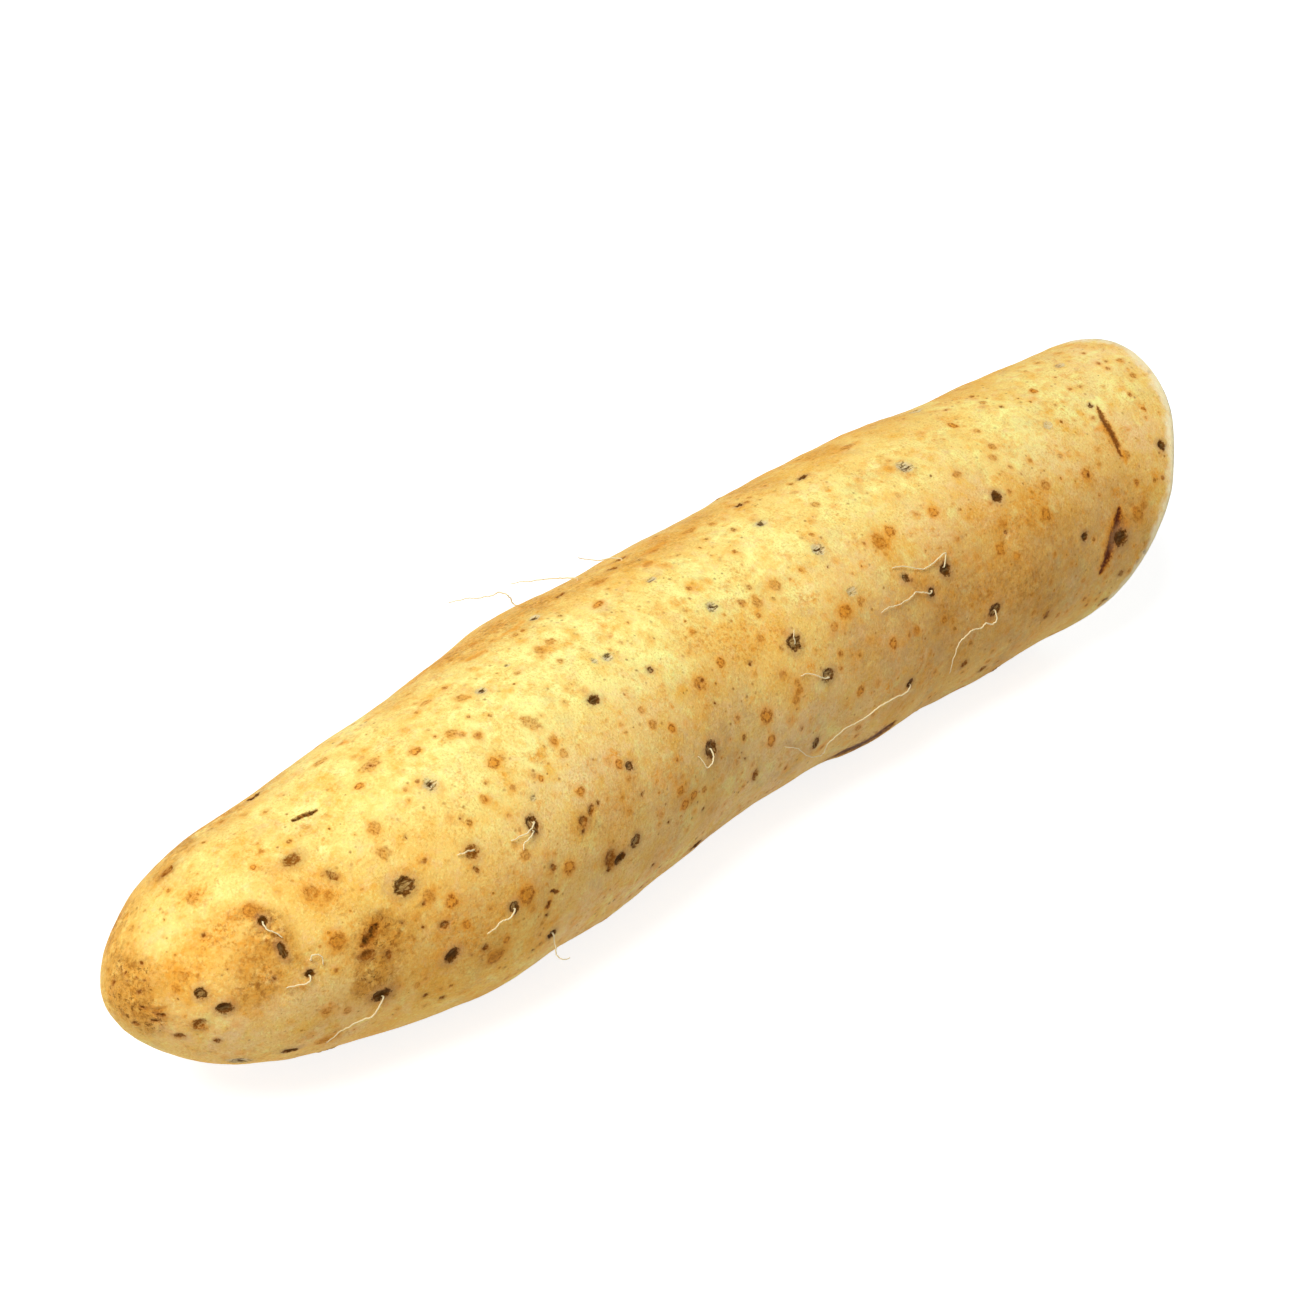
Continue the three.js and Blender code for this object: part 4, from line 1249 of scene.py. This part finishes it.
def grow_rootlet(name, path, settings):
    """One tapered rootlet along a path."""
    taper = 1 - np.linspace(0, 1, len(path)) ** 1.3
    radii = settings.end_radius + (settings.base_radius - settings.end_radius) * taper
    bm = bmesh.new()
    circle = bmesh.ops.create_circle(bm, cap_ends=True, segments=settings.sides, radius=1)
    end = circle["verts"][0].link_faces[0]
    across = Vector((0, 0, 1))
    for i, (centre, radius) in enumerate(zip(path, radii)):
        if i:
            end = bmesh.ops.extrude_discrete_faces(bm, faces=[end])["faces"][0]
        ahead = Vector(path[min(i + 1, len(path) - 1)] - path[max(i - 1, 0)]).normalized()
        across = (across - ahead * across.dot(ahead)).normalized()
        beside = ahead.cross(across)
        for k, v in enumerate(end.verts):
            turn = math.tau * k / settings.sides
            v.co = Vector(centre) + (across * math.cos(turn) + beside * math.sin(turn)) * float(radius)
    bmesh.ops.pointmerge(bm, verts=end.verts, merge_co=Vector(path[-1]))
    bmesh.ops.holes_fill(bm, edges=[e for e in bm.edges if e.is_boundary], sides=settings.sides)
    bmesh.ops.recalc_face_normals(bm, faces=bm.faces)
    for face in bm.faces:
        face.smooth = True
    mesh = bpy.data.meshes.new(name)
    bm.to_mesh(mesh)
    bm.free()
    nearest = np.array([np.linalg.norm(path - p, axis=1).argmin() for p in points_of(mesh.vertices)])
    store(mesh, "growth", nearest / (len(path) - 1))
    return mesh


# ---------------------------------------------------------------- operators


def show(data, *materials):
    """Puts a finished mesh, lamp or camera in the scene."""
    piece = bpy.data.objects.new(data.name, data)
    bpy.context.scene.collection.objects.link(piece)
    for material in materials:
        data.materials.append(material)
    return piece


class YAM_OT_grow_tuber(Operator):
    """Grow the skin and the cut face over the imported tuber"""

    bl_idname = "yam.grow_tuber"
    bl_label = "Grow Tuber"

    def execute(self, context):
        settings = context.scene.yam_skin
        tuber = show(grow_skin(settings), skin_material(settings), flesh_material(settings))
        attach(tuber, "root")
        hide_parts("tuber")
        return {"FINISHED"}


class YAM_OT_grow_rootlets(Operator):
    """Grow a thin rootlet in place of each packed one"""

    bl_idname = "yam.grow_rootlets"
    bl_label = "Grow Rootlets"

    def execute(self, context):
        settings = context.scene.yam_rootlets
        surface = Surface()
        fibre = rootlet_material(settings)
        for number, route in enumerate(ROOTLET_ROUTES, start=1):
            path = rootlet_path(route, surface, settings, seed=number)
            rootlet = show(grow_rootlet(f"grown_rootlet_{number:02d}", path, settings), fibre)
            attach(rootlet, "root")
            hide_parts(f"rootlet_{number:02d}")
        return {"FINISHED"}


class YAM_OT_set_stage(Operator):
    """Set up the floor, the lamp, the even light and the camera"""

    bl_idname = "yam.set_stage"
    bl_label = "Set Stage"

    def execute(self, context):
        settings = context.scene.yam_stage
        self.lay_floor(settings)
        self.light_evenly(context, settings)
        self.hang_lamp(settings)
        self.place_camera(context, settings)
        context.scene.view_settings.view_transform = "Standard"
        return {"FINISHED"}

    def lay_floor(self, settings):
        bm = bmesh.new()
        bmesh.ops.create_grid(bm, x_segments=1, y_segments=1, size=FLOOR_SIZE)
        mesh = bpy.data.meshes.new("stage_floor")
        bm.to_mesh(mesh)
        bm.free()
        show(mesh, floor_material(settings.floor))

    def light_evenly(self, context, settings):
        world = bpy.data.worlds.new("even_light")
        context.scene.world = world
        n = Shader(world)
        background = n.add("ShaderNodeBackground")
        n.put(background.inputs["Color"], (1, 1, 1))
        n.put(background.inputs["Strength"], n.ramp(n.seen(), 0, 1, settings.sky, 1))
        n.show(background, "ShaderNodeOutputWorld")

    def hang_lamp(self, settings):
        data = bpy.data.lights.new("key_lamp", "AREA")
        data.shape = "DISK"
        data.size = LAMP_SIZE
        data.energy = settings.key
        self.aim(show(data), LAMP_PLACE, LAMP_PLACE)

    def place_camera(self, context, settings):
        data = bpy.data.cameras.new("camera")
        data.lens = settings.lens
        a, e = settings.azimuth, settings.elevation
        back = Vector((math.sin(a) * math.cos(e), -math.cos(a) * math.cos(e), math.sin(e)))
        context.scene.camera = self.aim(show(data), LOOK_AT + back * settings.distance, back)

    def aim(self, piece, place, back):
        """Puts a lamp or camera at a place, with a direction behind it."""
        piece.location = place
        piece.rotation_euler = back.to_track_quat("Z", "Y").to_euler()
        return piece


class YAM_PT_panel(Panel):
    """The yam's operators and settings"""

    bl_idname = "YAM_PT_panel"
    bl_label = "Yam Tuber"
    bl_space_type = "VIEW_3D"
    bl_region_type = "UI"
    bl_category = "Yam"

    def draw(self, context):
        for operator, group in STEPS:
            self.layout.operator(operator)
            settings = getattr(context.scene, group)
            column = self.layout.column(align=True)
            for name in settings.bl_rna.properties.keys():
                if name not in ("rna_type", "name"):
                    column.prop(settings, name)


STEPS = [
    ("yam.set_stage", "yam_stage"),
    ("yam.grow_tuber", "yam_skin"),
    ("yam.grow_rootlets", "yam_rootlets"),
]
GROUPS = {"yam_skin": YamSkinSettings, "yam_rootlets": YamRootletSettings, "yam_stage": YamStageSettings}
CLASSES = [*GROUPS.values(), YAM_OT_set_stage, YAM_OT_grow_tuber, YAM_OT_grow_rootlets, YAM_PT_panel]


def register():
    for cls in CLASSES:
        bpy.utils.register_class(cls)
    for name, group in GROUPS.items():
        setattr(bpy.types.Scene, name, PointerProperty(type=group))


def unregister():
    for name in GROUPS:
        delattr(bpy.types.Scene, name)
    for cls in reversed(CLASSES):
        bpy.utils.unregister_class(cls)


def main():
    register()
    bpy.ops.yam.set_stage()
    bpy.ops.yam.grow_tuber()
    bpy.ops.yam.grow_rootlets()


if __name__ == "__main__":
    main()
